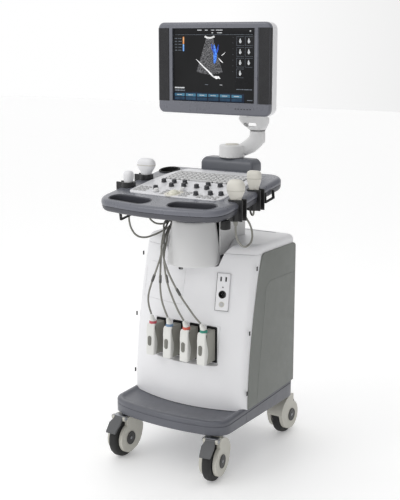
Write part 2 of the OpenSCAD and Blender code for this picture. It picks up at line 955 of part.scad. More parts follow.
module monitor_bracket() {
    color(cream) difference() {
        union() {
            translate([post[0], post[1], post_z + gap]) cylinder(h = 13, r = post_r + 1);
            for (x = [-1, 1]) hull() {
                translate([post[0] + x * 16 - 4, post[1] - 10, post_z + 8]) cube([8, 20, 2]);
                translate([post[0] + x * 24 - 5, post[1] - 14, 1044]) cube([10, 24, 2]);
            }
            translate([post[0] - 34, post[1] - 14, 1040]) cube([68, 24, 26]);
            hull() {
                translate([post[0] - 34, post[1] - 14, 1044]) cube([60, 24, 20]);
                translate([monitor_x - 18, tilt_y + 9, tilt_z - 12]) cube([36, 13, 22]);
            }
            translate([monitor_x - barrel_l / 2, tilt_y, tilt_z]) rotate([0, 90, 0])
                cylinder(h = barrel_l, r = barrel_r);
        }
        translate([post[0], post[1], post_z - 1]) cylinder(h = 12.5, r = post_pin_r + fit);
        translate([monitor_x - barrel_l, tilt_y, tilt_z]) rotate([0, 90, 0])
            cylinder(h = 2 * barrel_l, r = tilt_pin_r + fit);
    }
}

module monitor_outline(inset) {
    rounded_rect(monitor_w - 2 * inset, monitor_h - 2 * inset, 20 - inset / 2, $fn = 32);
}

module facing_front(y) {
    translate([monitor_x, y, monitor_z]) rotate([90, 0, 0]) children();
}

module monitor_rear_shell() {
    color(white) {
        difference() {
            hull() {
                facing_front(monitor_y + bezel_t + gap + 1) linear_extrude(1) monitor_outline(1);
                facing_front(118) linear_extrude(1) monitor_outline(3);
                facing_front(126) linear_extrude(1) monitor_outline(14);
                facing_front(shell_back) linear_extrude(1) monitor_outline(30);
            }
            hull() {
                facing_front(monitor_y + bezel_t + 1) linear_extrude(4) monitor_outline(6);
                facing_front(118) linear_extrude(1) monitor_outline(8);
                facing_front(shell_back - wall) linear_extrude(1) monitor_outline(32);
            }
        }
        for (x = [-1, 1])
            translate([monitor_x + x * (barrel_l / 2 + 5), 0, 0]) hull() {
                translate([-4, shell_back - 1, tilt_z - 14]) cube([8, 1, 28]);
                translate([-4, tilt_y, tilt_z]) rotate([0, 90, 0])
                    cylinder(h = 8, r = 11, $fn = 32);
            }
        translate([monitor_x - barrel_l / 2 - 8, tilt_y, tilt_z]) rotate([0, 90, 0])
            cylinder(h = barrel_l + 16, r = tilt_pin_r);
    }
}

module monitor_bezel() {
    color(slate) difference() {
        facing_front(monitor_y + bezel_t) linear_extrude(bezel_t) monitor_outline(0);
        translate([monitor_x - screen_w / 2, monitor_y - 10, monitor_z + screen_dz - screen_h / 2])
            cube([screen_w, 60, screen_h]);
        translate([monitor_x - screen_w / 2 - 6, monitor_y + 5,
                   monitor_z + screen_dz - screen_h / 2 - 6])
            cube([screen_w + 12, 60, screen_h + 12]);
    }
}

module screen() {
    color(black)
        translate([monitor_x - screen_w / 2 - 5, monitor_y + 5 + gap,
                   monitor_z + screen_dz - screen_h / 2 - 5])
            cube([screen_w + 10, 8, screen_h + 10]);
}

// ---------- casters ----------

// Places a caster whose wheel lies in front of its swivel axis, turned by an angle
module caster_at(x, y, angle) {
    translate([x, y, 0]) rotate([0, 0, angle]) children();
}

module hood_profile() {
    circle(46);
    polygon(concat([[-14, 0], [-14, 69.6]], arc(0, 0, hood_r, 101, 20, 8),
                   [[65, 12], [59, -8], [49, -25], [34, -37], [16, -43], [0, -40]]));
}

module fork(pedal) {
    difference() {
        union() {
            translate([-fork_out, -trail, wheel_r]) rotate([90, 0, 90])
                linear_extrude(2 * fork_out) hood_profile();
            translate([0, 0, 118]) cylinder(h = swivel_z - 118, r = 20);
            translate([0, 0, swivel_z - 1]) cylinder(h = 30, r = stem_r);
            if (pedal)
                for (x = [-1, 1])
                    translate([x * 20 - 4, pedal_y - 5, pedal_z - 6])
                        cube([8, 30, 12]);
        }
        translate([-fork_in, -trail, wheel_r]) rotate([0, 90, 0])
            cylinder(h = 2 * fork_in, r = wheel_r + 3);
        translate([-fork_in, -trail - 90, -40]) cube([2 * fork_in, 180, 40 + wheel_r]);
        translate([-60, -trail, wheel_r]) rotate([0, 90, 0]) cylinder(h = 120, r = axle_r + fit);
        translate([-60, pedal_y, pedal_z]) rotate([0, 90, 0])
            cylinder(h = 120, r = pedal_pin_r + fit);
    }
}

module wheel() {
    translate([0, -trail, wheel_r]) rotate([0, 90, 0]) {
        translate([0, 0, -tyre_w / 2]) rotate_extrude()
            polygon([[0, 0], [wheel_r - 6, 0], [wheel_r - 1.5, 4], [wheel_r, 10],
                     [wheel_r, tyre_w - 10], [wheel_r - 1.5, tyre_w - 4],
                     [wheel_r - 6, tyre_w], [0, tyre_w]]);
        translate([0, 0, -fork_out - 3]) cylinder(h = 2 * fork_out + 6, r = axle_r);
        for (z = [-fork_out - 3.4, fork_out + 0.4]) translate([0, 0, z]) cylinder(h = 3, r = 21);
    }
}

module pedal() {
    translate([-15.5, pedal_y, pedal_z]) rotate([0, 90, 0]) cylinder(h = 31, r = 6);
    translate([-24, pedal_y, pedal_z]) rotate([0, 90, 0]) cylinder(h = 48, r = pedal_pin_r);
    hull() {
        translate([-14, pedal_y - 4, pedal_z - 4]) cube([28, 4, 7]);
        translate([-20, pedal_y - 24, pedal_z - 14]) cube([40, 4, 5]);
    }
    hull() {
        translate([-20, pedal_y - 24, pedal_z - 14]) cube([40, 4, 5]);
        translate([-17, pedal_y - 46, pedal_z - 36]) cube([34, 4, 5]);
    }
}

module at_fl() {
    caster_at(-track / 2, -wheelbase / 2, fl_angle) children();
}

module at_fr() {
    caster_at(track / 2, -wheelbase / 2, fr_angle) children();
}

module at_rl() {
    caster_at(-track / 2, wheelbase / 2, 180) children();
}

module at_rr() {
    caster_at(track / 2, wheelbase / 2, 180) children();
}

chassis_frame();
base_cover();
front_cover();
left_side_panel();
right_side_panel();
top_cover();
rear_cover();
mains_inlet();
access_door();
connector_bay();
probe_connectors();
io_panel();
power_button();
power_supply();
main_electronics();
neck_column();
neck_front_cover();
neck_rear_cover();
neck_collar();
console_lower_shell();
console_upper_shell();
control_panel();
alpha_keys();
function_keys();
encoder_knobs();
gain_knob();
depth_knob();
trackball();
gel_cup();
left_probe_holders();
right_probe_holders();
cable_hooks();
lock_knob();
wide_probe();
narrow_probe();
convex_probe();
linear_probe();
wide_probe_cable();
narrow_probe_cable();
convex_probe_cable();
linear_probe_cable();
pedestal();
monitor_arm();
monitor_bracket();
monitor_rear_shell();
monitor_bezel();
screen();
color(cream) at_fl() fork(true);  // fork_fl
color(cream) at_fr() fork(true);  // fork_fr
color(cream) at_rl() fork(false);  // fork_rl
color(cream) at_rr() fork(false);  // fork_rr
color(black) at_fl() wheel();  // wheel_fl
color(black) at_fr() wheel();  // wheel_fr
color(black) at_rl() wheel();  // wheel_rl
color(black) at_rr() wheel();  // wheel_rr
color(grey) at_fl() pedal();  // pedal_fl
color(grey) at_fr() pedal();  // pedal_fr
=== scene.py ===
import math
import bmesh
import bpy
from mathutils import Matrix, Vector
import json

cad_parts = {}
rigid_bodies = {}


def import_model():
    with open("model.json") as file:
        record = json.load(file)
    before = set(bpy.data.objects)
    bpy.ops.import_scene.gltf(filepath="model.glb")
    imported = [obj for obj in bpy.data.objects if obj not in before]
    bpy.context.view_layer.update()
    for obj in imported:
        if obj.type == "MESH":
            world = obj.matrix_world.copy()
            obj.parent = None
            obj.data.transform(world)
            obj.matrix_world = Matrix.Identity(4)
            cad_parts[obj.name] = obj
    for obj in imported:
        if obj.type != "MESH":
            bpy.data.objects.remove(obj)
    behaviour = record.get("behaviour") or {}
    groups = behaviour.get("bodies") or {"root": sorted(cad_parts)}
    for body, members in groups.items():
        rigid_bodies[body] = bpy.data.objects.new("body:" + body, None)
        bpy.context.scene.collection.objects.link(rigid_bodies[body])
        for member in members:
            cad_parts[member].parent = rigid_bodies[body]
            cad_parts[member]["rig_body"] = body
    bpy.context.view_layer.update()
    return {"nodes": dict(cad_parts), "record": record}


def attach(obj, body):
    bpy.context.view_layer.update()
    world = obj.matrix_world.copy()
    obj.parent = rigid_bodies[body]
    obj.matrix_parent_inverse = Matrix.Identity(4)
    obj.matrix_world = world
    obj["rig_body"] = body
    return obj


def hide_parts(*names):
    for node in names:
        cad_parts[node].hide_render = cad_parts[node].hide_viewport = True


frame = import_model()
NODES = frame["nodes"]
RECORD_SLOTS = {s["node"]: s["material_slot"] for s in frame["record"]["subparts"]}

# Lengths are in millimetres, as in the CAD, and MM turns them into metres. Only the camera, the lights
# and the floor are placed in metres.
MM = 0.001
AXIS_R = 0.02  # a lathe profile that ends on its axis ends here
CAST_BODY = "cart"

# Console deck: the middle of its front line and its tilt
DECK_Y = -245
DECK_Z = 826
DECK_TILT = math.radians(8.6)
DECK = Matrix.Translation((0, DECK_Y * MM, DECK_Z * MM)) @ Matrix.Rotation(DECK_TILT, 4, "X")
CONSOLE_HW = 220
CONSOLE_FRONT = -54
CONSOLE_BACK = 362
RIM_H = 38
SLOT_X = 109
SLOT_S = -3
SLOT_TURN = 6.5
SLOT_L = 150
SLOT_W = 52
PANEL_HW = 165
GEL = (-178, 306)
GEL_SPACE_R = 31.4
BALL = (-7, 78)
GAIN = (-87, 100)
DEPTH = (-105, 170)
KNOBS = [(-68, 172), (-31, 175), (-55, 137), (-16, 146), (30, 146), (53, 175),
         (69, 141), (95, 175), (70, 80), (110, 96), (144, 100)]
LIGHT_KNOBS = [(-69, 77), (4, 108)]
KEY_PITCH = 17
KEY_W = 13
KEY_FRONT = 205
KEY_ROWS = 5
KEY_COLUMNS = 15
KEY_TOP = 6
KNOB_R = 7.4
KNOB_H = 9.6
KNOB_FOOT = 5
SLOT_HALF_GAP = 14.4
RIGHT_CUPS = [(203, -163, 779, 841), (200, -55, 794, 856)]
CUP_SPACE_R = 22.4
LEFT_CUPS = [(-196, -138, 794, 856), (-192, -50, 808, 870)]
LOCK_KNOB = (210, -230)

# Body
BODY_HW = 205
BODY_BACK = 200
SEAM_Z = 652
FRONT_BOW = 42
SPLIT_Y = 24
NECK_Y = -68
PANEL_TOP = 655
PANEL_THICK = 5
FRONT_STEP = 17.5
TOP_CORNER_R = 14
BASE_HW = 205
BASE_FRONT = -253
BASE_BACK = 228
BASE_Z = 140
BASE_SLOPE = 21 / 481
PORT_PITCH = 62
PORT_TOP = 429
BAY_MID = 378
BOOT_LEANS = (17, 20, 29, 31)
DOOR_X = -182
DOOR_Z = 487
DOOR_W = 165
DOOR_H = 112

# Monitor
MONITOR = Vector((-25, 71, 1195))
MONITOR_W = 406
MONITOR_H = 280
SCREEN_W = 298
SCREEN_H = 224
SCREEN_DZ = 10
SPEAKER_X = 182
EAR_X = 33
HUB = (0, 150)
POST = (63, 203)
TILT = Vector((-25, 150, 1085))

# Casters: swivel axes and rest angles
TRAIL = 25
WHEEL_R = 62.5
CASTERS = {"fl": (-165, -199, 0), "fr": (165, -199, 9), "rl": (-165, 199, 180),
           "rr": (165, 199, 180)}


def link(obj):
    bpy.context.scene.collection.objects.link(obj)


# ---------- camera ----------

def make_camera():
    data = bpy.data.cameras.new("camera")
    data.lens = 71.45
    data.sensor_width = 36
    camera = bpy.data.objects.new("camera", data)
    link(camera)
    camera.location = (1.63249, -2.55469, 1.29211)
    azimuth, elevation = math.radians(32.957), math.radians(12.146)
    back = Vector((math.sin(azimuth) * math.cos(elevation), -math.cos(azimuth) * math.cos(elevation),
                   math.sin(elevation)))
    camera.rotation_mode = "QUATERNION"
    camera.rotation_quaternion = (-back).to_track_quat("-Z", "Y")
    bpy.context.scene.camera = camera


make_camera()


# ---------- materials ----------

def srgb(red, green, blue):
    """A screen colour from 0 to 255 as a linear colour with alpha."""
    def linear(c):
        c = c / 255
        return c / 12.92 if c <= 0.04045 else ((c + 0.055) / 1.055) ** 2.4
    return (linear(red), linear(green), linear(blue), 1.0)


def new_material(name):
    material = bpy.data.materials.new(name)
    material.use_nodes = True
    tree = material.node_tree
    return material, tree, tree.nodes["Principled BSDF"]


def add_node(tree, kind, values):
    node = tree.nodes.new(kind)
    for socket, value in values.items():
        node.inputs[socket].default_value = value
    return node


def noise_at(tree, scale, detail=4.0, stretch=(1, 1, 1)):
    """A noise texture in object space; scale is in bumps per metre."""
    coordinates = tree.nodes.new("ShaderNodeTexCoord")
    mapping = add_node(tree, "ShaderNodeMapping", {"Scale": stretch})
    tree.links.new(coordinates.outputs["Object"], mapping.inputs["Vector"])
    noise = add_node(tree, "ShaderNodeTexNoise", {"Scale": scale, "Detail": detail})
    tree.links.new(mapping.outputs["Vector"], noise.inputs["Vector"])
    return noise.outputs["Fac"]


def ramp_between(tree, value, low, high, colour_a, colour_b):
    ramp = tree.nodes.new("ShaderNodeValToRGB")
    ramp.color_ramp.elements[0].position = low
    ramp.color_ramp.elements[1].position = high
    ramp.color_ramp.elements[0].color = colour_a
    ramp.color_ramp.elements[1].color = colour_b
    tree.links.new(value, ramp.inputs["Fac"])
    return ramp.outputs["Color"]


def scaled(tree, value, low, high, from_low=0.3, from_high=0.7):
    values = {"From Min": from_low, "From Max": from_high, "To Min": low, "To Max": high}
    reach = add_node(tree, "ShaderNodeMapRange", values)
    tree.links.new(value, reach.inputs["Value"])
    return reach.outputs["Result"]


def add_bump(tree, shader, height, strength, distance):
    bump = add_node(tree, "ShaderNodeBump", {"Strength": strength, "Distance": distance})
    tree.links.new(height, bump.inputs["Height"])
    tree.links.new(bump.outputs["Normal"], shader.inputs["Normal"])


def darker(colour, share):
    return (colour[0] * share, colour[1] * share, colour[2] * share, 1.0)


def moulded(name, colour, roughness=0.42, grain=1400, depth=0.35, mottle=0.93, coat=0.0, metallic=0.0):
    """Moulded or painted surface: cloudy tone, uneven gloss and a fine grain."""
    material, tree, shader = new_material(name)
    cloud = noise_at(tree, 9, 5)
    tree.links.new(ramp_between(tree, cloud, 0.35, 0.65, darker(colour, mottle), colour),
                   shader.inputs["Base Color"])
    smudge = noise_at(tree, 45, 3)
    tree.links.new(scaled(tree, smudge, roughness - 0.06, roughness + 0.06), shader.inputs["Roughness"])
    add_bump(tree, shader, noise_at(tree, grain, 2), depth, 0.00006)
    shader.inputs["Coat Weight"].default_value = coat
    shader.inputs["Coat Roughness"].default_value = 0.25
    shader.inputs["Metallic"].default_value = metallic
    return material


def brushed(name, colour, roughness=0.32):
    material, tree, shader = new_material(name)
    streak = noise_at(tree, 120, 4, (1, 1, 18))
    tree.links.new(ramp_between(tree, streak, 0.3, 0.7, darker(colour, 0.82), colour),
                   shader.inputs["Base Color"])
    tree.links.new(scaled(tree, streak, roughness - 0.08, roughness + 0.08), shader.inputs["Roughness"])
    add_bump(tree, shader, streak, 0.15, 0.00005)
    shader.inputs["Metallic"].default_value = 1.0
    return material


def glowing(name, colour_a, colour_b, scale, strength, low=0.4, high=0.6, stretch=(1, 1, 1)):
    """Part of the lit picture: two colours mixed by noise, with its own light."""
    material, tree, shader = new_material(name)
    pattern = ramp_between(tree, noise_at(tree, scale, 6, stretch), low, high, colour_a, colour_b)
    tree.links.new(pattern, shader.inputs["Emission Color"])
    shader.inputs["Emission Strength"].default_value = strength
    shader.inputs["Base Color"].default_value = (0.01, 0.01, 0.01, 1)
    shader.inputs["Roughness"].default_value = 0.3
    shader.inputs["Specular IOR Level"].default_value = 0.12
    return material


WHITE = moulded("white_plastic", srgb(236, 236, 238), 0.36, coat=0.15, mottle=0.97)
NECK_WHITE = moulded("neck_white", srgb(226, 226, 226), 0.34, coat=0.15, mottle=0.97)
IVORY = moulded("ivory_plastic", srgb(222, 219, 210), 0.4, mottle=0.95)
HANDLE_WHITE = moulded("handle_white", srgb(228, 228, 224), 0.4, mottle=0.96)
CREAM = moulded("cream_plastic", srgb(206, 204, 194), 0.42, mottle=0.94)
SLATE = moulded("slate_plastic", srgb(106, 108, 117), 0.3, coat=0.35, mottle=0.92)
SLATE_DARK = moulded("slate_dark", srgb(74, 75, 82), 0.42, coat=0.1, mottle=0.9)
PEDESTAL_SLATE = moulded("pedestal_slate", srgb(96, 99, 106), 0.38, coat=0.2, mottle=0.92)
BASE_SLATE = moulded("base_slate", srgb(92, 94, 102), 0.36, coat=0.25, mottle=0.9)
PANEL_GREY = moulded("panel_grey", srgb(124, 127, 123), 0.45, mottle=0.95)
BLACK = moulded("black_plastic", srgb(34, 34, 36), 0.38, depth=0.5, mottle=0.8)
SOFT_BLACK = moulded("soft_black", srgb(24, 24, 25), 0.6, grain=900, depth=0.8, mottle=0.75)
GRIP_GREY = moulded("grip_grey", srgb(129, 129, 122), 0.55, grain=700, depth=0.8, mottle=0.88)
BLOCK_GREY = moulded("block_grey", srgb(158, 157, 149), 0.5, mottle=0.92)
KEY_GREY = moulded("key_grey", srgb(190, 190, 190), 0.42, mottle=0.94)
KEY_WHITE = moulded("key_white", srgb(226, 226, 226), 0.4, mottle=0.95)
# Key pocket floor: a real plate, but its dark tone is painted shade standing in for the shadow that falls
# between the keys.
KEY_POCKET_SHADE = moulded("key_pocket_painted_shade", srgb(80, 81, 85), 0.6, mottle=0.85)
KNOB_DARK = moulded("knob_dark", srgb(50, 51, 56), 0.36, depth=0.5, mottle=0.85)
PANEL_WHITE = moulded("panel_white", srgb(226, 226, 229), 0.38, coat=0.1, mottle=0.97)
BALL_CREAM = moulded("ball_cream", srgb(226, 224, 208), 0.16, coat=0.6, mottle=0.9)
TYRE = moulded("tyre_rubber", srgb(38, 38, 38), 0.66, grain=600, depth=0.9, mottle=0.7)
HUB_GREY = moulded("hub_grey", srgb(66, 66, 65), 0.45, mottle=0.85)
CABLE = moulded("cable_jacket", srgb(142, 141, 134), 0.5, grain=500, depth=0.4, mottle=0.88)
SLEEVE = moulded("cable_sleeve", srgb(92, 92, 90), 0.55, mottle=0.85)
PEDAL_GREY = moulded("pedal_grey", srgb(92, 93, 95), 0.4, mottle=0.85)
STEEL = brushed("brushed_steel", srgb(168, 170, 174))
PAINTED = moulded("powder_coat", srgb(92, 94, 98), 0.5, grain=800, depth=0.9, mottle=0.85, metallic=0.2)
SHEET_METAL = brushed("sheet_metal", srgb(186, 188, 192), 0.4)
SPEAKER = moulded("speaker_black", srgb(40, 40, 43), 0.55, grain=900, depth=0.8, mottle=0.8)
RING_PINK = moulded("ring_red", srgb(196, 84, 96), 0.4)
RING_BLUE = moulded("ring_blue", srgb(118, 146, 178), 0.4)
RING_ORANGE = moulded("ring_orange", srgb(214, 96, 76), 0.4)
RING_TEAL = moulded("ring_teal", srgb(44, 138, 120), 0.4)
DISPLAY = glowing("display_off", srgb(3, 3, 5), srgb(24, 25, 27), 5, 0.9, 0.3, 0.75)

FLOOR = moulded("pale_floor", srgb(248, 248, 248), 0.5, grain=200, depth=0.05, mottle=0.995)
FLOOR_SHADER = FLOOR.node_tree.nodes["Principled BSDF"]
FLOOR_SHADER.inputs["Emission Color"].default_value = (1.0, 1.0, 1.0, 1)
FLOOR_SHADER.inputs["Emission Strength"].default_value = 0.22

CAD_MATERIALS = {
    "white_plastic": WHITE, "slate_plastic": SLATE, "grey_plastic": PANEL_GREY, "cream_plastic": CREAM,
    "black_plastic": BLACK, "key_plastic": KEY_WHITE, "ball": BALL_CREAM, "cable": CABLE,
    "screen": BLACK, "steel": PAINTED, "cage_metal": SHEET_METAL, "tyre": TYRE,
}
for node_name, node_object in NODES.items():
    node_object.data.materials.clear()
    node_object.data.materials.append(CAD_MATERIALS[RECORD_SLOTS[node_name]])


# ---------- mesh tools ----------

def point(x, y, z):
    return Vector((x, y, z)) * MM


def at(x, y, z):
    """A shift, in millimetres."""
    return Matrix.Translation(point(x, y, z))


def turn(degrees, axis):
    return Matrix.Rotation(math.radians(degrees), 4, axis)


def place(matrix=None):
    """Turns a matrix in metres into a function on points in millimetres."""
    def put(x, y, z):
        p = point(x, y, z)
        return matrix @ p if matrix is not None else p
    return put


on_deck = place(DECK)


def finished(name, mesh_data, body, material, nodes=(), bevel=0.0, sharp=38.0, segments=2):
    """Makes the object, sets its shading and material, and lets it ride on its body."""
    bm = mesh_data
    bmesh.ops.recalc_face_normals(bm, faces=bm.faces)
    limit = math.radians(sharp)
    for face in bm.faces:
        face.smooth = True
    for edge in bm.edges:
        edge.smooth = bevel > 0 or len(edge.link_faces) != 2 or edge.calc_face_angle(0) < limit
    mesh = bpy.data.meshes.new(name)
    bm.to_mesh(mesh)
    bm.free()
    obj = bpy.data.objects.new(name, mesh)
    link(obj)
    mesh.materials.append(material)
    if bevel > 0:
        rounding = obj.modifiers.new("rounding", "BEVEL")
        rounding.width = bevel * MM
        rounding.segments = segments
        rounding.limit_method = "ANGLE"
        rounding.angle_limit = limit
        rounding.use_clamp_overlap = True
        even = obj.modifiers.new("even", "WEIGHTED_NORMAL")
        even.keep_sharp = True
    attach(obj, body)
    for node in nodes:
        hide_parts(node)
    return obj


def add_loft(bm, rings, closed=True, caps=True):
    """Skins a list of rings, each a list of points in metres."""
    rows = [[bm.verts.new(p) for p in ring] for ring in rings]
    count = len(rows[0])
    last = count if closed else count - 1
    for a, b in zip(rows, rows[1:]):
        for i in range(last):
            j = (i + 1) % count
            bm.faces.new((a[i], a[j], b[j], b[i]))
    if caps and closed:
        bm.faces.new(rows[0])
        bm.faces.new(rows[-1])
    return rows


def loft(name, rings, body, material, nodes=(), caps=True, **look):
    bm = bmesh.new()
    add_loft(bm, rings, caps=caps)
    return finished(name, bm, body, material, nodes, **look)


def add_lathe(bm, profile, matrix, segments=48):
    """Turns a profile of (radius, height) pairs about the Z axis of a matrix in metres."""
    rings = []
    for radius, height in profile:
        r = max(radius, AXIS_R)
        rings.append([matrix @ point(r * math.cos(2 * math.pi * k / segments),
                                     r * math.sin(2 * math.pi * k / segments), height)
                      for k in range(segments)])
    add_loft(bm, rings)


def lathe(name, profile, matrix, body, material, nodes=(), segments=48, **look):
    bm = bmesh.new()
    add_lathe(bm, profile, matrix, segments)
    return finished(name, bm, body, material, nodes, **look)


def arc(cx, cy, r, a0, a1, steps):
    return [(cx + r * math.cos(math.radians(a0 + (a1 - a0) * k / steps)),
             cy + r * math.sin(math.radians(a0 + (a1 - a0) * k / steps))) for k in range(steps + 1)]


def rounded(w, h, r, steps=6):
    """A rounded rectangle about the origin, counter-clockwise."""
    x, y = w / 2 - r, h / 2 - r
    return (arc(x, y, r, 0, 90, steps) + arc(-x, y, r, 90, 180, steps)
            + arc(-x, -y, r, 180, 270, steps) + arc(x, -y, r, 270, 360, steps))


def mirrored(half):
    """Closes an outline whose right half runs from the front to the back."""
    return half + [(-x, y) for x, y in reversed(half) if x > 0.01]


def add_block(bm, put, size, centre, radius=2.0, edge=1.0):
    """A block with rounded upright corners and softened top and bottom edges."""
    w, d, h = size
    cx, cy, cz = centre
    levels = [(edge, -h / 2), (edge * 0.3, -h / 2 + edge * 0.3), (0, -h / 2 + edge),
              (0, h / 2 - edge), (edge * 0.3, h / 2 - edge * 0.3), (edge, h / 2)]
    rings = []
    for inset, z in levels:
        outline = rounded(w - 2 * inset, d - 2 * inset, max(radius - inset, 0.2), 4)
        rings.append([put(cx + x, cy + y, cz + z) for x, y in outline])
    add_loft(bm, rings)


def block(name, put, size, centre, body, material, nodes=(), radius=2.0, edge=1.0):
    bm = bmesh.new()
    add_block(bm, put, size, centre, radius, edge)
    return finished(name, bm, body, material, nodes)


def from_cad(node, material, bevel=0.8, name=None, sharp=30.0, segments=2):
    """A copy of a CAD node with its flat faces joined and its edges rounded."""
    bm = bmesh.new()
    bm.from_mesh(NODES[node].data)
    bmesh.ops.remove_doubles(bm, verts=bm.verts, dist=0.00002)
    bmesh.ops.dissolve_limit(bm, angle_limit=math.radians(0.6), verts=bm.verts, edges=bm.edges)
    body = NODES[node]["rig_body"]
    return finished(name or node + "_shell", bm, body, material, (node,), bevel=bevel, sharp=sharp,
                    segments=segments)


def carve(obj, *tools):
    """Cuts the tools out of a piece for good, and removes them."""
    for tool in tools:
        cut = obj.modifiers.new("cut", "BOOLEAN")
        cut.object = tool
        cut.operation = "DIFFERENCE"
        cut.solver = "EXACT"
    settle(obj)
    for tool in tools:
        bpy.data.objects.remove(tool)


def settle(obj, sharp=38.0):
    """Applies the modifiers and marks the sharp edges again."""
    bpy.context.view_layer.update()
    graph = bpy.context.evaluated_depsgraph_get()
    mesh = bpy.data.meshes.new_from_object(obj.evaluated_get(graph))
    obj.modifiers.clear()
    bm = bmesh.new()
    bm.from_mesh(mesh)
    bmesh.ops.remove_doubles(bm, verts=bm.verts, dist=0.00001)
    for face in bm.faces:
        face.smooth = True
        face.material_index = 0
    for edge in bm.edges:
        edge.smooth = len(edge.link_faces) == 2 and edge.calc_face_angle(0) < math.radians(sharp)
    bm.to_mesh(mesh)
    bm.free()
    material = obj.data.materials[0]
    obj.data = mesh
    mesh.materials.clear()
    mesh.materials.append(material)


def tool_from(rings):
    """A temporary solid for carve."""
    bm = bmesh.new()
    add_loft(bm, rings)
    bmesh.ops.recalc_face_normals(bm, faces=bm.faces)
    mesh = bpy.data.meshes.new("tool")
    bm.to_mesh(mesh)
    bm.free()
    obj = bpy.data.objects.new("tool", mesh)
    link(obj)
    return obj


def prism(put, outline, z0, z1):
    return tool_from([[put(x, y, z) for x, y in outline] for z in (z0, z1)])


def stack(put, outline, levels):
    """Rings of an outline at several (inset, height) levels."""
    return [[put(x, y, z) for x, y in outline(inset)] for inset, z in levels]


def circle(r, steps, cx=0, cy=0):
    return [(cx + r * math.cos(a), cy + r * math.sin(a))
            for a in (2 * math.pi * k / steps for k in range(steps))]


def box_outline(x0, y0, x1, y1):
    return [(x0, y0), (x1, y0), (x1, y1), (x0, y1)]


# ---------- probe cables ----------

BOOT_Y = -160
ROUTES = {
    "wide_probe_cable": [
        (-99, -160, 455), (-106, -162, 480), (-107, -164, 508), (-93, -165, 556), (-75, -163, 602),
        (-67, -149, 651), (-71.1, -142.2, 670.6), (-70.5, -131.9, 685.8), (-84, -110, 708),
        (-104, -80, 726), (-112, -50, 735), (-114, -36, 737), (-119, -22, 733), (-128, -14, 724),
        (-140, -18, 715), (-158, -32, 712), (-174, -44, 720), (-186, -49, 738), (-192, -50, 764),
        (-192, -50, 790)],
    "narrow_probe_cable": [
        (-38, -160, 454), (-46, -164, 478), (-53, -168, 506), (-59, -168, 553), (-67, -154, 605),
        (-77, -135, 650), (-84.1, -119.3, 682.8), (-89.6, -102.2, 704.1), (-99, -72, 722),
        (-104, -48, 734), (-105, -36, 737), (-108, -22, 732), (-114, -16, 722), (-122, -24, 708),
        (-134, -50, 694), (-148, -80, 684), (-164, -106, 680), (-178, -124, 688), (-188, -134, 706),
        (-195, -138, 732), (-196, -138, 756), (-196, -138, 776)],
    "convex_probe_cable": [
        (21, -160, 453), (8, -166, 478), (-3, -172, 506), (-24, -176, 559), (-45, -164, 611),
        (-62, -141, 649), (-65.3, -128.2, 667.5), (-68.6, -117.6, 684.9), (-77.5, -96, 704.2),
        (-83.8, -68, 722.1), (-87.9, -48, 734), (-89, -36, 737), (-88, -18, 746), (-88, 6, 768),
        (-88, 28, 796), (-88, 48, 817), (-88, 68, 829), (-88, 92, 833), (-83, 108, 835),
        (-68, 117, 836), (-46, 119, 836), (0, 119, 836), (48, 117, 836), (86, 108, 835), (114, 90, 832),
        (134, 64, 828), (144, 34, 824), (150, 0, 818), (158, -36, 812), (167, -62, 806),
        (176, -80, 798), (186, -88, 786), (197, -88, 770), (206, -84, 752), (211, -82, 731),
        (213, -88, 709), (212, -106, 697), (210, -126, 697), (207, -146, 709), (204, -159, 731),
        (203, -163, 751), (203, -163, 763)],
    "linear_probe_cable": [
        (82, -160, 453), (68, -170, 474), (54, -177, 496), (30, -185, 532), (0, -186, 575),
        (-29, -178, 617), (-53, -160, 653), (-64.5, -137.3, 670.4), (-77.8, -117.5, 686.9),
        (-86, -89.9, 704.8), (-91.2, -62, 722.9), (-96, -46, 734), (-97, -36, 737), (-96, -16, 747),
        (-96, 8, 770), (-96, 32, 800), (-96, 52, 820), (-96, 72, 829), (-96, 98, 833), (-88, 117, 835),
        (-70, 127, 837), (-50, 128, 837), (0, 128, 838), (50, 126, 837), (92, 116, 836), (121, 98, 833),
        (141, 70, 829), (152, 36, 824), (158, 4, 818), (164, -16, 808), (176, -34, 790),
        (188, -48, 779), (197, -54, 778), (200, -55, 787), (200, -55, 798)],
}
CABLE_D = 6


def route_length(points):
    return sum((Vector(b) - Vector(a)).length for a, b in zip(points, points[1:])) * MM


def add_sleeve(name, points):
    """A thin dark sleeve that hugs the cable where it is marked, between two of its points."""
    start, end = Vector(points[3]), Vector(points[4])
    direction = (end - start).normalized()
    along = direction.to_track_quat("Z", "Y").to_matrix().to_4x4()
    matrix = Matrix.Translation(start.lerp(end, 0.35) * MM) @ along
    profile = [(3.1, -13), (4.0, -11), (4.3, -8), (4.3, 8), (4.0, 11), (3.1, 13)]
    return lathe(name, profile, matrix, CAST_BODY, SLEEVE, segments=20)


def make_cable(node, points):
    curve = bpy.data.curves.new(node + "_flex", "CURVE")
    curve.dimensions = "3D"
    curve.bevel_depth = CABLE_D / 2 * MM
    curve.bevel_resolution = 4
    curve.resolution_u = 8
    curve.use_fill_caps = True
    spline = curve.splines.new("BEZIER")
    spline.bezier_points.add(len(points) - 1)
    for knot, p in zip(spline.bezier_points, points):
        knot.co = point(*p)
        knot.handle_left_type = "AUTO"
        knot.handle_right_type = "AUTO"
    obj = bpy.data.objects.new(node + "_flex", curve)
    link(obj)
    curve.materials.append(CABLE)
    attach(obj, CAST_BODY)
    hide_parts(node)
    sleeve = add_sleeve(node + "_sleeve", points)
    point(*points[0])
    route_length(points)


for cable_node, cable_points in ROUTES.items():
    make_cable(cable_node, cable_points)


# ---------- base ----------

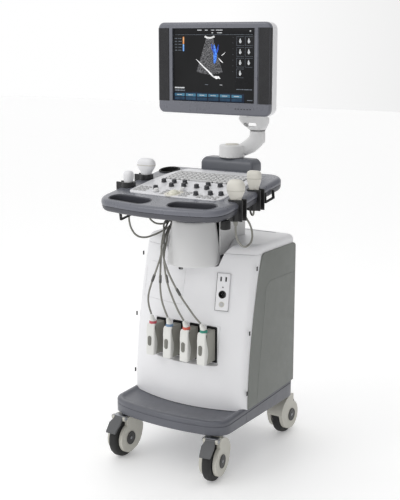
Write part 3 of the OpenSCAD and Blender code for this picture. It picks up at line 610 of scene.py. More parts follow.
def base_outline(inset):
    hw = BASE_HW - inset
    r = 44 - inset if inset < 36 else 8
    bow_r = (BASE_HW ** 2 + 29 ** 2) / 58
    corner_y = BASE_FRONT + 23 + inset
    half = [(x, BASE_FRONT + inset + x * x / (2 * bow_r)) for x in range(0, 160, 12)]
    half += arc(hw - r, corner_y + r, r, -72, 0, 9)
    half += [(hw, y) for y in range(-160, 180, 40)]
    half += arc(hw - r, BASE_BACK - inset - r, r, 0, 90, 8)
    return mirrored(half)


def base_top(y):
    return 182 + (y - BASE_FRONT) * BASE_SLOPE


def make_base():
    levels = [(1.5, 0.0, 0), (0.3, 0.0, 1.2), (0, 0.0, 3), (0, 1.0, -17), (1.4, 1.0, -16.4),
              (1.4, 1.0, -13.6), (0, 1.0, -13), (0, 1.0, -7), (1.0, 1.0, -3.4), (3.2, 1.0, -1.0),
              (6.5, 1.0, 0), (12, 1.0, 0), (16, 1.0, -1.4), (20, 1.0, -4.6), (26, 1.0, -6.4),
              (40, 1.0, -7.4), (60, 1.0, -7.6)]
    rings = []
    for inset, share, lift in levels:
        ring = []
        for x, y in base_outline(inset):
            z = BASE_Z + share * (base_top(y) - BASE_Z) + lift
            ring.append(point(x, y, z))
        rings.append(ring)
    base = loft("base_cover_shell", rings, CAST_BODY, BASE_SLATE, ("base_cover",), sharp=50)
    seams = []
    for side in (-1, 1):
        outline = box_outline(side * BASE_HW - 1.4, -92.6, side * BASE_HW + 1.4, -91.4)
        seams.append(prism(place(), outline, BASE_Z - 2, 230))
    carve(base, *seams)


make_base()


# ---------- body ----------

def front_y(z):
    h = max(z, 222) - 222
    return -106 + 0.05 * h + 0.000287 * h * h


def front_half(z, inset, radius=26):
    """Right half of the front face: a shallow bow, then a generous corner."""
    hw = BODY_HW - inset
    y0 = front_y(z) + inset
    start = hw - radius + radius * math.cos(math.radians(70))
    half = []
    for k in range(15):
        x = start * k / 15
        half.append((x, y0 - FRONT_BOW * (1 - (x / hw) ** 2)))
    y_start = y0 - FRONT_BOW * (1 - (start / hw) ** 2)
    cy = y_start + radius * math.sin(math.radians(70))
    return half + arc(hw - radius, cy, radius, -70, 0, 10)


def make_scoop_tool():
    """The trumpet-shaped hollow round the neck's foot."""
    profile = [(AXIS_R, 612), (86, 612), (91, 613.5), (94, 618), (97, 630), (101, 642), (107, 654),
               (115, 665), (126, 674), (139, 680), (152, 682.4), (152, 740), (AXIS_R, 740)]
    return tool_from([[point(x, y, z) for x, y in circle(r, 96, 0, NECK_Y)] for r, z in profile])


def make_column_tool():
    return prism(place(), box_outline(-80, -60, 80, 107), 612, 760)


def make_front_cover():
    rings = []
    heights = [BASE_Z] + list(range(222, 640, 22)) + [640, 649, SEAM_Z]
    for z in heights:
        inset = 0.8 if z == SEAM_Z else 0
        half = front_half(z, inset) + [(BODY_HW - inset, SPLIT_Y)]
        ring = []
        for x, y in mirrored(half):
            low = base_top(y) + 0.4 - 6.5
            ring.append(point(x, y, low if z == BASE_Z else z))
        rings.append(ring)
    cover = loft("front_cover_shell", rings, CAST_BODY, WHITE, ("front_cover",), sharp=34)
    flat = place()
    bay = tool_from([[flat(x, y, z) for x, z in rounded(2 * w, h, 8)] for y, w, h in
                     ((-69, 121, 119), (-118, 121, 119), (-150, 128, 136), (-230, 146, 182))])
    for v in bay.data.vertices:
        v.co.z += BAY_MID * MM
    door = prism(flat, box_outline(DOOR_X, -300, DOOR_X + DOOR_W, -60), DOOR_Z, DOOR_Z + DOOR_H)
    plate = prism(io_put, box_outline(-20.6, -60, 20.6, 30), -56.6, 56.6)
    carve(cover, make_scoop_tool(), make_column_tool(), bay, door, plate)


IO_MATRIX = at(118, -92, 541) @ turn(13, "Z") @ turn(-14, "X")
io_put = place(IO_MATRIX)
make_front_cover()


def make_access_door():
    """The door follows the front face and stands a hair inside its opening."""
    inset = 0.7
    columns = [DOOR_X + inset + (DOOR_W - 2 * inset) * k / 24 for k in range(25)]
    rows = [DOOR_Z + inset + (DOOR_H - 2 * inset) * k / 14 for k in range(15)]
    bm = bmesh.new()
    grids = []
    for depth in (0.15, 5):
        grid = []
        for z in rows:
            line = []
            for x in columns:
                y = front_y(z) - FRONT_BOW * (1 - (x / BODY_HW) ** 2) + depth
                line.append(bm.verts.new(point(x, y, z)))
            grid.append(line)
        grids.append(grid)
    for grid in grids:
        for a, b in zip(grid, grid[1:]):
            for i in range(len(a) - 1):
                bm.faces.new((a[i], a[i + 1], b[i + 1], b[i]))
    outer, inner = grids
    def border(grid):
        return (grid[0] + [line[-1] for line in grid[1:]] + grid[-1][-2::-1]
                + [line[0] for line in grid[-2:0:-1]])
    rim_a, rim_b = border(outer), border(inner)
    for i in range(len(rim_a)):
        j = (i + 1) % len(rim_a)
        bm.faces.new((rim_a[i], rim_a[j], rim_b[j], rim_b[i]))
    door = finished("access_door_shell", bm, CAST_BODY, WHITE, ("access_door",))
    carve(door, make_scoop_tool())
    matrix = at(-37, front_y(594) - FRONT_BOW + 1.6, 594)
    matrix = matrix @ turn(90, "X")
    put = place(matrix)
    rings = [[put(x * s, y * s, z) for x, y in rounded(16, 8, 3.9)]
             for s, z in ((0.9, -2), (1.0, 0.4), (0.96, 1.4), (0.8, 1.6), (0.72, 0.6))]
    loft("door_latch", rings, CAST_BODY, SOFT_BLACK)


make_access_door()


def make_top_cover():
    levels = [(0.8, SEAM_Z + 0.9), (0, SEAM_Z + 1.8), (0, 664), (0.6, 669), (2, 674), (5, 678.4),
              (9, 681), (14, 682)]
    rings = []
    for inset, z in levels:
        half = front_half(z, inset)
        hw = BODY_HW - inset
        half += [(hw, y) for y in range(20, 170, 30)]
        half += arc(hw - TOP_CORNER_R, BODY_BACK - inset - TOP_CORNER_R, TOP_CORNER_R, 0, 90, 6)
        rings.append([point(x, y, z) for x, y in mirrored(half)])
    cover = loft("top_cover_shell", rings, CAST_BODY, WHITE, ("top_cover",), sharp=34)
    recess = prism(place(at(0, 140, 0)), rounded(300, 90, 10), 680, 700)
    carve(cover, make_scoop_tool(), make_column_tool(), recess)


make_top_cover()


def panel_outline(inset):
    """Side panel in the YZ plane: a curved front edge and a straight back."""
    points = [(front_y(z) + FRONT_STEP + inset, z) for z in range(200, 640, 20)]
    points += [(front_y(640) + 21 + inset, PANEL_TOP - 7 - inset),
               (front_y(648) + 30 + inset, PANEL_TOP - inset)]
    points += [(y, PANEL_TOP - inset) for y in range(0, 180, 30)]
    points += arc(BODY_BACK - TOP_CORNER_R, PANEL_TOP - TOP_CORNER_R, TOP_CORNER_R - inset, 90, 0, 5)
    bottom = (BODY_BACK - inset, front_y(200) + FRONT_STEP + inset)
    points += [(y, base_top(y) - 5 + inset) for y in bottom]
    return points


def pad_outline(inset):
    """The raised field in the lower back of a side panel."""
    top = [(196 - inset, 561 - inset), (60, 563 - inset)]
    corner = arc(42, 523, 40 - inset, 90, 165, 8)
    front = [(2 + inset, 500), (-10 + inset, 420), (-22 + inset, 340), (-33 + inset, 270)]
    low = [(-40 + inset, base_top(-40) - 3), (196 - inset, base_top(196) - 3)]
    return top + corner + front + low


def make_side_panel(name, side):
    node = name + "_side_panel"
    outer = BODY_HW + PANEL_THICK
    def ring(outline, x):
        return [point(side * x, y, z) for y, z in outline]
    levels = [(0, BODY_HW), (0, outer - 1.6), (0.5, outer - 0.5), (1.6, outer)]
    loft(node + "_shell", [ring(panel_outline(i), x) for i, x in levels], CAST_BODY, PANEL_GREY,
         (node,), sharp=40)
    field = [(0, outer - 0.5), (0.6, outer + 0.9), (2.6, outer + 1.3)]
    loft(node + "_field", [ring(pad_outline(i), x) for i, x in field], CAST_BODY, PANEL_GREY, sharp=30)
    for k, (y, z) in enumerate(((-46, 615), (-86, 424), (-98, 238))):
        put = place(at(side * (outer - 1.0), y, z))
        block(f"{node}_clip_{k}", put, (2.6, 6, 13), (0, 0, 0), CAST_BODY, SOFT_BLACK, radius=1.2, edge=0.6)


make_side_panel("left", -1)
make_side_panel("right", 1)
from_cad("rear_cover", WHITE, 0.8)
from_cad("mains_inlet", BLACK, 0.8)
from_cad("chassis_frame", PAINTED, 1.0)
from_cad("neck_column", PAINTED, 1.5)
from_cad("power_supply", SHEET_METAL, 2.0)
from_cad("main_electronics", SHEET_METAL, 0.4)


# ---------- probe ports ----------

def make_bay():
    bm = bmesh.new()
    flat = place()
    add_block(bm, flat, (241, 46, 118), (0, -91, BAY_MID), 3, 1)
    bay = finished("connector_bay_plate", bm, CAST_BODY, WHITE, ("connector_bay",))
    slots = []
    for k in range(4):
        put = place(at((k - 1.5) * PORT_PITCH, 0, BAY_MID))
        slots.append(tool_from([[put(x, y, z) for x, z in rounded(38, 114, 4)] for y in (-130, -108)]))
        rings = [[put(x, y, z) for x, z in rounded(w, h, r)] for y, w, h, r in
                 ((-107, 37, 113, 4), (-113.5, 37, 113, 4), (-114.6, 36, 112, 3.4), (-114.6, 33, 109, 2),
                  (-110, 32, 108, 2))]
        loft(f"port_frame_{k}", rings, CAST_BODY, SOFT_BLACK)
    carve(bay, *slots)


make_bay()


def handle_profile(inset):
    """Side view of a connector's handle: a flat front and a wavy back edge."""
    front = [(-178 + inset, 330 + inset), (-178 + inset, 346), (-176.5 + inset, 366),
             (-175.5 + inset, 384), (-176.5 + inset, 402), (-174 + inset, 421), (-170 + inset, 428 - inset)]
    back = []
    for k in range(13):
        z = 428 - inset - (98 - 2 * inset) * k / 12
        wave = 5.5 * math.sin((z - 330) / 98 * 2 * math.pi - 0.6)
        back.append((-161 - inset + wave, z))
    return front + back


def make_grip(k, x0):
    grip = place(at(x0 - 2, -177.6, 374) @ turn(90, "X"))
    shape = [(1.0, -2.0), (1.0, 0.2), (0.9, 1.3), (0.72, 1.9), (0.4, 2.1)]
    rings = [[grip(x * s, y * s, z) for x, y in rounded(12, 31, 5.8)] for s, z in shape]
    loft(f"connector_{k}_grip", rings, CAST_BODY, GRIP_GREY, sharp=60)
    for n in range(5):
        block(f"connector_{k}_rib_{n}", grip, (7, 1.1, 1.2), (0, -8 + 4 * n, 2.0), CAST_BODY, GRIP_GREY,
              radius=0.5, edge=0.3)


def make_boot(k, x0, ring_material):
    axis = at(x0, BOOT_Y, PORT_TOP)
    lathe(f"connector_{k}_ring", [(9, -2), (11.4, -1.4), (11.8, 1), (11.6, 5), (10, 6.2)], axis,
          CAST_BODY, ring_material)
    leaning = axis @ at(0, 0, 5) @ turn(-BOOT_LEANS[k], "Y")
    boot = [(9.4, -2), (9.6, 1.0), (8.9, 4.4), (7.6, 9), (6.3, 13.6), (5.3, 17.6), (4.2, 19.6), (2, 20)]
    lathe(f"connector_{k}_boot", boot, leaning, CAST_BODY, HANDLE_WHITE)
    for n in range(3):
        lathe(f"connector_{k}_boot_rib_{n}", [(6.4 - n, 9.2 + 3.2 * n), (8.0 - n, 9.8 + 3.2 * n),
                                              (7.7 - n, 11 + 3.2 * n), (6.0 - n, 11.6 + 3.2 * n)],
              leaning, CAST_BODY, HANDLE_WHITE, segments=32)


def make_connector(k, ring_material):
    x0 = (k - 1.5) * PORT_PITCH
    put = place(at(x0, 0, 0))
    levels = [(4.5, -15), (1.6, -14.2), (0.4, -12.5), (0, -10), (0, 10), (0.4, 12.5), (1.6, 14.2),
              (4.5, 15)]
    rings = [[put(x, y, z) for y, z in handle_profile(inset)] for inset, x in levels]
    handle = loft(f"connector_{k}_handle", rings, CAST_BODY, HANDLE_WHITE, sharp=50)
    block(f"connector_{k}_body", put, (27, 56, 98), (0, -141, 378.4), CAST_BODY, BLOCK_GREY,
          radius=5, edge=3)
    make_grip(k, x0)
    make_boot(k, x0, ring_material)
    return handle


connectors = [make_connector(k, m) for k, m in enumerate((RING_PINK, RING_BLUE, RING_ORANGE, RING_TEAL))]
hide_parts("probe_connectors")


# ---------- input plate ----------

def make_io_plate():
    bm = bmesh.new()
    add_block(bm, io_put, (40, 16, 112), (0, 4, 0), 1.6, 0.8)
    plate = finished("io_plate", bm, CAST_BODY, WHITE, ("io_panel",))
    tools = []
    for x in (-8, 8):
        tools.append(prism(io_put, box_outline(x - 2.7, -8, x + 2.7, 5), 31.6, 45.4))
    turned = IO_MATRIX @ at(0, 10, -8) @ turn(90, "X")
    tools.append(prism(place(turned), circle(10.5, 40), 0, 30))
    low = IO_MATRIX @ at(0, 6, -38) @ turn(90, "X")
    tools.append(prism(place(low), circle(6.6, 32), 0, 30))
    carve(plate, *tools)
    for n, x in enumerate((-8, 8)):
        block(f"usb_socket_{n}", io_put, (5.2, 3, 13.4), (x, 1.5, 38.5), CAST_BODY, SOFT_BLACK,
              radius=0.6, edge=0.3)
        block(f"usb_tongue_{n}", io_put, (1.8, 4, 10.4), (x, -0.4, 38.5), CAST_BODY, BLACK, radius=0.4,
              edge=0.3)
    socket = [(10.4, 0), (10.4, 13.2), (11.8, 13.6), (11.8, 15.0), (10.9, 15.4), (9.9, 15.0), (9.7, 1.2),
              (AXIS_R, 1.0)]
    lathe("ecg_socket", socket, turned, CAST_BODY, SOFT_BLACK)
    pins = bmesh.new()
    for n in range(7):
        angle = 2 * math.pi * n / 6
        r = 0 if n == 6 else 5.2
        spot = turned @ at(r * math.cos(angle), r * math.sin(angle), 1)
        add_lathe(pins, [(0.9, 0), (0.9, 5), (0.5, 5.8), (AXIS_R, 6)], spot, 12)
    finished("ecg_pins", pins, CAST_BODY, STEEL)
    dot = IO_MATRIX @ at(0, -3.4, 14) @ turn(90, "X")
    lathe("io_lamp", [(2.1, -1), (2.1, 0.7), (1.5, 1.3), (AXIS_R, 1.5)], dot, CAST_BODY, SOFT_BLACK,
          segments=24)
    button = IO_MATRIX @ at(0, 2, -38) @ turn(90, "X")
    shape = [(AXIS_R, 0), (5.9, 0.1), (6.0, 6.8), (5.5, 7.7), (4.4, 8.0), (3.2, 7.7), (AXIS_R, 7.3)]
    lathe("power_button_cap", shape, button, "power_button", KEY_GREY, ("power_button",))
    seat = [(6.7, 5.0), (8.4, 5.6), (8.6, 6.6), (7.8, 7.2), (6.8, 6.8)]
    lathe("power_button_seat", seat, button, CAST_BODY, CREAM)
    # Black strips along the plate's left and bottom edges: a painted shadow standing in for the shade the
    # proud plate casts on the cover.
    block("io_painted_shadow_edge", io_put, (1.6, 4, 113), (-20.6, -1, 0), CAST_BODY, SOFT_BLACK, radius=0.6,
          edge=0.4)
    block("io_painted_shadow_foot", io_put, (42, 4, 1.6), (0, -1, -56.4), CAST_BODY, SOFT_BLACK, radius=0.6,
          edge=0.4)


make_io_plate()


# ---------- neck ----------

def make_neck():
    axis = at(0, NECK_Y, 0)
    profile = [(80, 613.6), (83.4, 614.4), (84, 616), (83.4, 624), (81.6, 640), (79, 660), (76, 682),
               (72.8, 706), (70, 726), (67.8, 740), (66.6, 746), (65, 747.8), (60, 747.8), (62, 740),
               (79, 614)]
    cover = lathe("neck_front_shell", profile, axis, CAST_BODY, NECK_WHITE, ("neck_front_cover",), 96)
    behind = prism(place(), box_outline(-100, -45, 100, 60), 560, 800)
    carve(cover, behind)
    collar = [(60, 749), (63.4, 748.6), (64.4, 750), (66, 762), (68.6, 776), (72, 790), (78, 806),
              (78, 830), (60, 830)]
    ring = lathe("neck_collar_shell", collar, axis, CAST_BODY, SLATE, ("neck_collar",), 96)
    under = DECK @ at(0, 0, -RIM_H - 0.4)
    carve(ring, prism(place(), box_outline(-100, -44.5, 100, 60), 700, 860),
          prism(place(under), box_outline(-400, -200, 400, 600), 0, 120))


make_neck()
from_cad("neck_rear_cover", NECK_WHITE, 3.0)


# ---------- console ----------

def console_outline(inset):
    hw = CONSOLE_HW - inset
    fr, br = 60 - inset, 55 - inset
    corner_s = CONSOLE_FRONT + 160 * 160 / 1730 + 60
    half = [(x, CONSOLE_FRONT + inset + x * x / 1730) for x in range(0, 145, 12)]
    half += arc(160, corner_s, fr, -79, 0, 12)
    half += [(hw, s) for s in range(60, 300, 24)]
    half += arc(165, CONSOLE_BACK - 55, br, 0, 90, 12)
    return mirrored(half)


def slot_outline(side, grow):
    half = SLOT_L / 2 - SLOT_W / 2
    r = SLOT_W / 2 + grow
    outline = arc(half, 0, r, -90, 90, 14) + arc(-half, 0, r, 90, 270, 14)
    angle = math.radians(side * SLOT_TURN)
    return [(side * SLOT_X + x * math.cos(angle) - y * math.sin(angle),
             SLOT_S + x * math.sin(angle) + y * math.cos(angle)) for x, y in outline]


def panel_plan(inset):
    hw = PANEL_HW - inset
    half = [(0, 48 + inset), (40, 49.4 + inset), (80, 51 + inset), (hw - 50, 52 + inset)]
    half += arc(hw - 26, 80 + inset, 26, -80, 0, 8)
    half += [(hw, 130), (hw, 190), (hw - 10, 270), (hw - 32, 318)]
    half += arc(hw - 50, 318 - inset, 16, 20, 90, 6)
    return mirrored(half)


def console_tools():
    """What both console shells leave room for."""
    tools = [prism(on_deck, slot_outline(side, 0), -60, 40) for side in (-1, 1)]
    tools.append(prism(on_deck, arc(GEL[0], GEL[1], GEL_SPACE_R, 0, 350, 35), -80, 30))
    flat = place()
    for cups, side in ((RIGHT_CUPS, 1), (LEFT_CUPS, -1)):
        for cup in cups:
            ring = arc(cup[0], cup[1], CUP_SPACE_R, 0, 350, 35)
            tools.append(prism(flat, ring, 700, 980))
            far = cup[0] + side * 80
            tools.append(prism(flat, box_outline(min(cup[0], far), cup[1] - SLOT_HALF_GAP,
                                                 max(cup[0], far), cup[1] + SLOT_HALF_GAP), 700, 980))
    return tools


def make_console():
    lower_levels = [(15, -38), (11, -37.7), (7, -36.4), (4.2, -34), (2.4, -31), (1.4, -26), (1.0, -20.4),
                    (2.2, -19.2)]
    rings = stack(on_deck, console_outline, lower_levels)
    lower = loft("console_lower", rings, CAST_BODY, SLATE_DARK, ("console_lower_shell",), sharp=50)
    carve(lower, *console_tools())
    upper_levels = [(2.2, -19.0), (0.6, -18.2), (0.1, -16.6), (0, -13), (0.5, -9.4), (2, -5.8), (4.6, -2.9),
                    (8, -1.0), (12, -0.2), (17, 0)]
    rings = stack(on_deck, console_outline, upper_levels)
    upper = loft("console_upper", rings, CAST_BODY, SLATE, ("console_upper_shell",), sharp=50)
    well = prism(on_deck, panel_plan(0), -10, 20)
    carve(upper, well, *console_tools())
    bm = bmesh.new()
    add_block(bm, on_deck, (164, 84, 26), (0, 384, -25), 14, 2)
    finished("console_heel", bm, CAST_BODY, SLATE_DARK)
    for side, word in ((-1, "left"), (1, "right")):
        lip = [(4.0, -0.2), (3.4, 0.45), (2.0, 0.9), (0.6, 0.5), (-0.5, -1.2), (-0.9, -4), (-0.9, -34),
               (0.2, -37.4), (2.4, -38.3), (3.0, -37.6), (0.4, -30), (0.4, -3)]
        rings = [[on_deck(x, s, n) for x, s in slot_outline(side, g)] for g, n in lip]
        bm = bmesh.new()
        rows = add_loft(bm, rings, caps=False)
        first, last = rows[0], rows[-1]
        for i in range(len(first)):
            j = (i + 1) % len(first)
            bm.faces.new((last[i], last[j], first[j], first[i]))
        finished(f"handle_lip_{word}", bm, CAST_BODY, SLATE_DARK, sharp=60)
    groove = stack(on_deck, console_outline, ((8, -19.6), (3.4, -19.5), (3.4, -19.1), (8, -19.0)))
    loft("console_seam", groove, CAST_BODY, SOFT_BLACK, sharp=30)


make_console()


def make_panel():
    levels = [(0.5, -9), (0.5, 0.6), (0.9, 1.8), (1.8, 2.6), (3.2, 3.0)]
    rings = stack(on_deck, panel_plan, levels)
    panel = loft("control_panel_plate", rings, CAST_BODY, PANEL_WHITE, ("control_panel",), sharp=40)
    tools = [prism(on_deck, [(x, 252.5 + y) for x, y in rounded(264, 95, 5)], -4, 20)]
    for x, s in function_spots():
        tools.append(prism(on_deck, [(x + a, s + b) for a, b in rounded(14.6, 10.6, 4.8)], -4, 20))
    ring = arc(BALL[0], BALL[1], 20, 0, 350, 35)
    tools.append(prism(on_deck, ring, -4, 20))
    carve(panel, *tools)
    # Plate under the keys: the pocket floor, darkened as painted shade between the keys.
    block("key_membrane", on_deck, (262, 93, 1.6), (0, 252.5, -3.3), CAST_BODY, KEY_POCKET_SHADE, radius=4,
          edge=0.4)
    axis = DECK @ at(BALL[0], BALL[1], 0)
    collar = [(19.4, -3), (19.3, 2.7), (20.2, 3.3), (22.0, 3.42), (26.5, 3.3), (30.5, 2.9), (30.5, 1)]
    lathe("trackball_collar", collar, axis, CAST_BODY, IVORY)


def function_spots():
    """Centres of the oval function keys, in deck coordinates."""
    left = [(x, s) for x in (-146, -130, -114) for s in (76, 92, 108)]
    right = [(x, s) for x in (90, 108, 126, 144) for s in (62, 76)]
    middle = [(x, s) for x in (-40, 26, 42) for s in (62, 78, 94)]
    return left + right + middle


def add_key(bm, x, s, w, d, top, radius):
    put = place(DECK @ at(x, s, 0))
    def outline(inset):
        return rounded(w - 2 * inset, d - 2 * inset, max(radius - inset, 0.3), 4)
    skirt = ((0, 0.5), (0, top - 2.2), (0.4, top - 0.9), (1.1, top - 0.2), (2.2, top))
    dish = ((2.2, top), (3.4, top - 0.35))
    for levels in (skirt, dish):
        add_loft(bm, stack(put, outline, levels))


def make_keys():
    bm = bmesh.new()
    first = KEY_FRONT + 8 + KEY_W / 2
    for row in range(KEY_ROWS):
        for i in range(KEY_COLUMNS):
            x = (i - 7) * KEY_PITCH
            s = first + row * KEY_PITCH
            if row == 0 and 5 <= i <= 9:
                if i == 7:
                    add_key(bm, x, s, KEY_W + 4 * KEY_PITCH, KEY_W, KEY_TOP, 2.4)
                continue
            add_key(bm, x, s, KEY_W, KEY_W, KEY_TOP, 2.4)
    finished("alpha_key_caps", bm, "alpha_keys", KEY_WHITE, ("alpha_keys",), sharp=50)
    bm = bmesh.new()
    for x, s in function_spots():
        add_key(bm, x, s, 13, 9, 5.6, 4.2)
    finished("function_key_caps", bm, "function_keys", KEY_GREY, ("function_keys",), sharp=50)


make_panel()
make_keys()


def add_knob(bm, x, s, radius, height, flutes=18):
    """A round knob with a skirt, shallow flutes and a dished top."""
    levels = [(1.14, 0), (1.16, 0.9), (1.06, 1.8), (1.0, 2.4), (0.96, height - 1.4), (0.90, height - 0.4),
              (0.80, height), (0.62, height - 0.1), (0.5, height - 0.6)]
    steps = flutes * 4
    rings = []
    for share, h in levels:
        ring = []
        for k in range(steps):
            a = 2 * math.pi * k / steps
            ripple = 1 - (0.045 * (1 + math.cos(flutes * a)) / 2 if 2 < h < height - 0.5 else 0)
            r = radius * share * ripple
            ring.append(on_deck(x + r * math.cos(a), s + r * math.sin(a), KNOB_FOOT + h))
        rings.append(ring)
    add_loft(bm, rings)


def make_knobs():
    bm = bmesh.new()
    for x, s in KNOBS:
        add_knob(bm, x, s, KNOB_R, KNOB_H)
    finished("encoder_knob_caps", bm, "encoder_knobs", KNOB_DARK, ("encoder_knobs",), sharp=50)
    for name, spot in (("gain", GAIN), ("depth", DEPTH)):
        bm = bmesh.new()
        add_knob(bm, spot[0], spot[1], KNOB_R, KNOB_H)
        finished(name + "_knob_cap", bm, name + "_knob", KNOB_DARK, (name + "_knob",), sharp=50)
        mark = place(DECK @ at(spot[0], spot[1], 0))
        block(name + "_knob_pointer", mark, (1.2, 3.4, 0.7), (0, 4.6, 14.5), name + "_knob", KEY_WHITE,
              radius=0.5, edge=0.2)
    bm = bmesh.new()
    for x, s in LIGHT_KNOBS:
        add_knob(bm, x, s, 7.6, 8)
    finished("light_knob_caps", bm, "encoder_knobs", KEY_WHITE, sharp=50)
    caps = bmesh.new()
    for x, s in KNOBS:
        spot = DECK @ at(x, s, KNOB_FOOT)
        add_lathe(caps, [(8.6, -2.8), (9.6, -2.6), (9.8, -2.3), (9.2, -1.9), (8.4, -1.8)], spot, 32)
    finished("knob_seats", caps, CAST_BODY, KEY_GREY, sharp=50)


make_knobs()


def make_ball():
    bm = bmesh.new()
    bmesh.ops.create_icosphere(bm, subdivisions=5, radius=18.9 * MM)
    bmesh.ops.transform(bm, matrix=DECK @ at(BALL[0], BALL[1], -5), verts=bm.verts)
    finished("trackball_ball", bm, "trackball", BALL_CREAM, ("trackball",))


make_ball()


def make_gel_cup():
    axis = DECK @ at(GEL[0], GEL[1], 0)
    profile = [(AXIS_R, -63), (24, -63), (29, -61.6), (30.9, -58), (31, -2), (33.4, 0.2), (34.2, 1.2),
               (34, 2.8), (32.4, 3.4), (29.6, 3.2), (28.2, 1.6), (28.0, -58), (26, -60), (AXIS_R, -60)]
    lathe("gel_cup_liner", profile, axis, CAST_BODY, SOFT_BLACK, ("gel_cup",), 64)


make_gel_cup()
from_cad("left_probe_holders", BLACK, 1.1)
from_cad("right_probe_holders", BLACK, 1.1)
from_cad("cable_hooks", SOFT_BLACK, 1.0)


def make_lock_knob():
    put = place(at(LOCK_KNOB[0], LOCK_KNOB[1], 0))
    levels = [(4, 764.4), (1.4, 765), (0.2, 766.6), (0, 770), (0, 783), (1, 787), (3, 790)]
    steps = 72
    rings = []
    for inset, z in levels:
        ring = []
        for k in range(steps):
            a = 2 * math.pi * k / steps
            ripple = 0.9 * (1 + math.cos(14 * a)) / 2
            rx, ry = 13.8 - inset - ripple, 16.6 - inset - ripple
            ring.append(put(rx * math.cos(a), ry * math.sin(a), z))
        rings.append(ring)
    loft("lock_knob_grip", rings, CAST_BODY, SOFT_BLACK, ("lock_knob",), sharp=50)


make_lock_knob()


# ---------- probes ----------

def superellipse(rx, ry, power, steps=48):
    outline = []
    for k in range(steps):
        a = 2 * math.pi * k / steps
        c, s = math.cos(a), math.sin(a)
        outline.append((rx * math.copysign(abs(c) ** (2 / power), c),
                        ry * math.copysign(abs(s) ** (2 / power), s)))
    return outline


def make_probe(name, cup, foot, rows, material, band=None):
    """A probe standing in its cup: rows are (height, half width, half depth, squareness)."""
    put = place(at(cup[0], cup[1], 0))
    def ring(row):
        return [put(x, y, row[0]) for x, y in superellipse(row[1], row[2], row[3])]
    loft(name + "_body", [ring(r) for r in rows], CAST_BODY, material, (name,), sharp=60)
    axis = at(cup[0], cup[1], 0)
    relief = [(3.6, foot), (4.6, foot + 0.6), (5.6, foot + 5), (7.2, foot + 12), (8.8, foot + 18),
              (9.4, foot + 22)]
    lathe(name + "_relief", relief, axis, CAST_BODY, CABLE, segments=24)
    if band:
        loft(name + "_band", [ring(r) for r in band], CAST_BODY, CREAM, sharp=60)


make_probe("wide_probe", LEFT_CUPS[1], 790,
           [(806, 8, 8, 2), (820, 12, 11, 2), (850, 14.4, 13.4, 2.2), (868, 15, 14, 2.3),
            (876, 18, 14.6, 2.4), (884, 24, 15.4, 2.6), (892, 29, 16.2, 2.8), (899, 31, 16.8, 3),
            (906, 31, 17, 3), (911, 29.4, 16.2, 3), (916, 25.6, 14, 2.8), (919.4, 19, 10.4, 2.6),
            (920.6, 10, 5.6, 2.4)],
           WHITE,
           band=[(897.4, 30.9, 16.8, 3), (898, 31.4, 17.2, 3), (899.4, 31.5, 17.3, 3), (900, 31, 16.9, 3)])
make_probe("narrow_probe", LEFT_CUPS[0], 776,
           [(792, 7, 7, 2), (806, 10, 10, 2), (836, 12.4, 12.4, 2.1), (852, 12.8, 12.8, 2.2),
            (860, 14.6, 13, 2.3), (868, 16.4, 13.6, 2.5), (877, 16.8, 13.8, 2.6),
            (884, 15.6, 12.8, 2.5), (888.4, 12.4, 10, 2.3), (890.2, 7, 6, 2.1)],
           WHITE)
make_probe("convex_probe", RIGHT_CUPS[0], 763,
           [(779, 9, 9, 2), (795, 12.4, 12, 2), (829, 14.8, 14.4, 2.2), (842, 16, 15.4, 2.3),
            (851, 20.4, 17.4, 2.4), (861, 25, 19.2, 2.5), (871, 27, 20, 2.5), (881, 26.6, 19.6, 2.5),
            (889, 23.8, 17.4, 2.4), (894.6, 18, 13, 2.3), (897, 10, 7, 2.2)],
           IVORY,
           band=[(864, 26.2, 19.6, 2.5), (865, 26.8, 20.1, 2.5), (866.4, 27, 20.3, 2.5),
                 (867.6, 26.9, 19.9, 2.5)])
make_probe("linear_probe", RIGHT_CUPS[1], 798,
           [(810, 8, 8, 2), (824, 11.4, 11, 2), (846, 13.6, 12.6, 2.2), (858, 14.4, 13, 2.3),
            (868, 17.6, 13.2, 2.5), (880, 21, 13.2, 2.9), (892, 22, 13, 3.2), (901, 21.6, 12.6, 3.2),
            (907, 19.4, 11, 3), (909.6, 14, 7.6, 2.8), (910.2, 7, 4, 2.4)],
           IVORY,
           band=[(885, 21.7, 13.2, 3), (886, 22.2, 13.5, 3.1), (887.6, 22.3, 13.6, 3.1),
                 (888.4, 22, 13.2, 3.1)])


# ---------- pedestal, arm and bracket ----------

def deck_height(y):
    return DECK_Z + (y - DECK_Y) * math.tan(DECK_TILT)


def make_pedestal():
    levels = [(192, 62, 8, 145, None), (191.6, 61.8, 8, 145, 897), (190, 60.8, 8, 145.2, 901.6),
              (186, 58.4, 7.6, 145.4, 905.6), (179, 53, 7, 146, 910.6), (171, 47, 6.4, 146.6, 914),
              (167, 44, 6, 147, 915), (160, 38, 5, 147, 915.4)]
    rings = []
    for w, d, r, cy, z in levels:
        ring = []
        for x, y in rounded(w, d, r, 8):
            ring.append(point(x, cy + y, z if z is not None else deck_height(cy + y) - 11.0))
        rings.append(ring)
    loft("pedestal_shell", rings, CAST_BODY, PEDESTAL_SLATE, ("pedestal",), sharp=30)


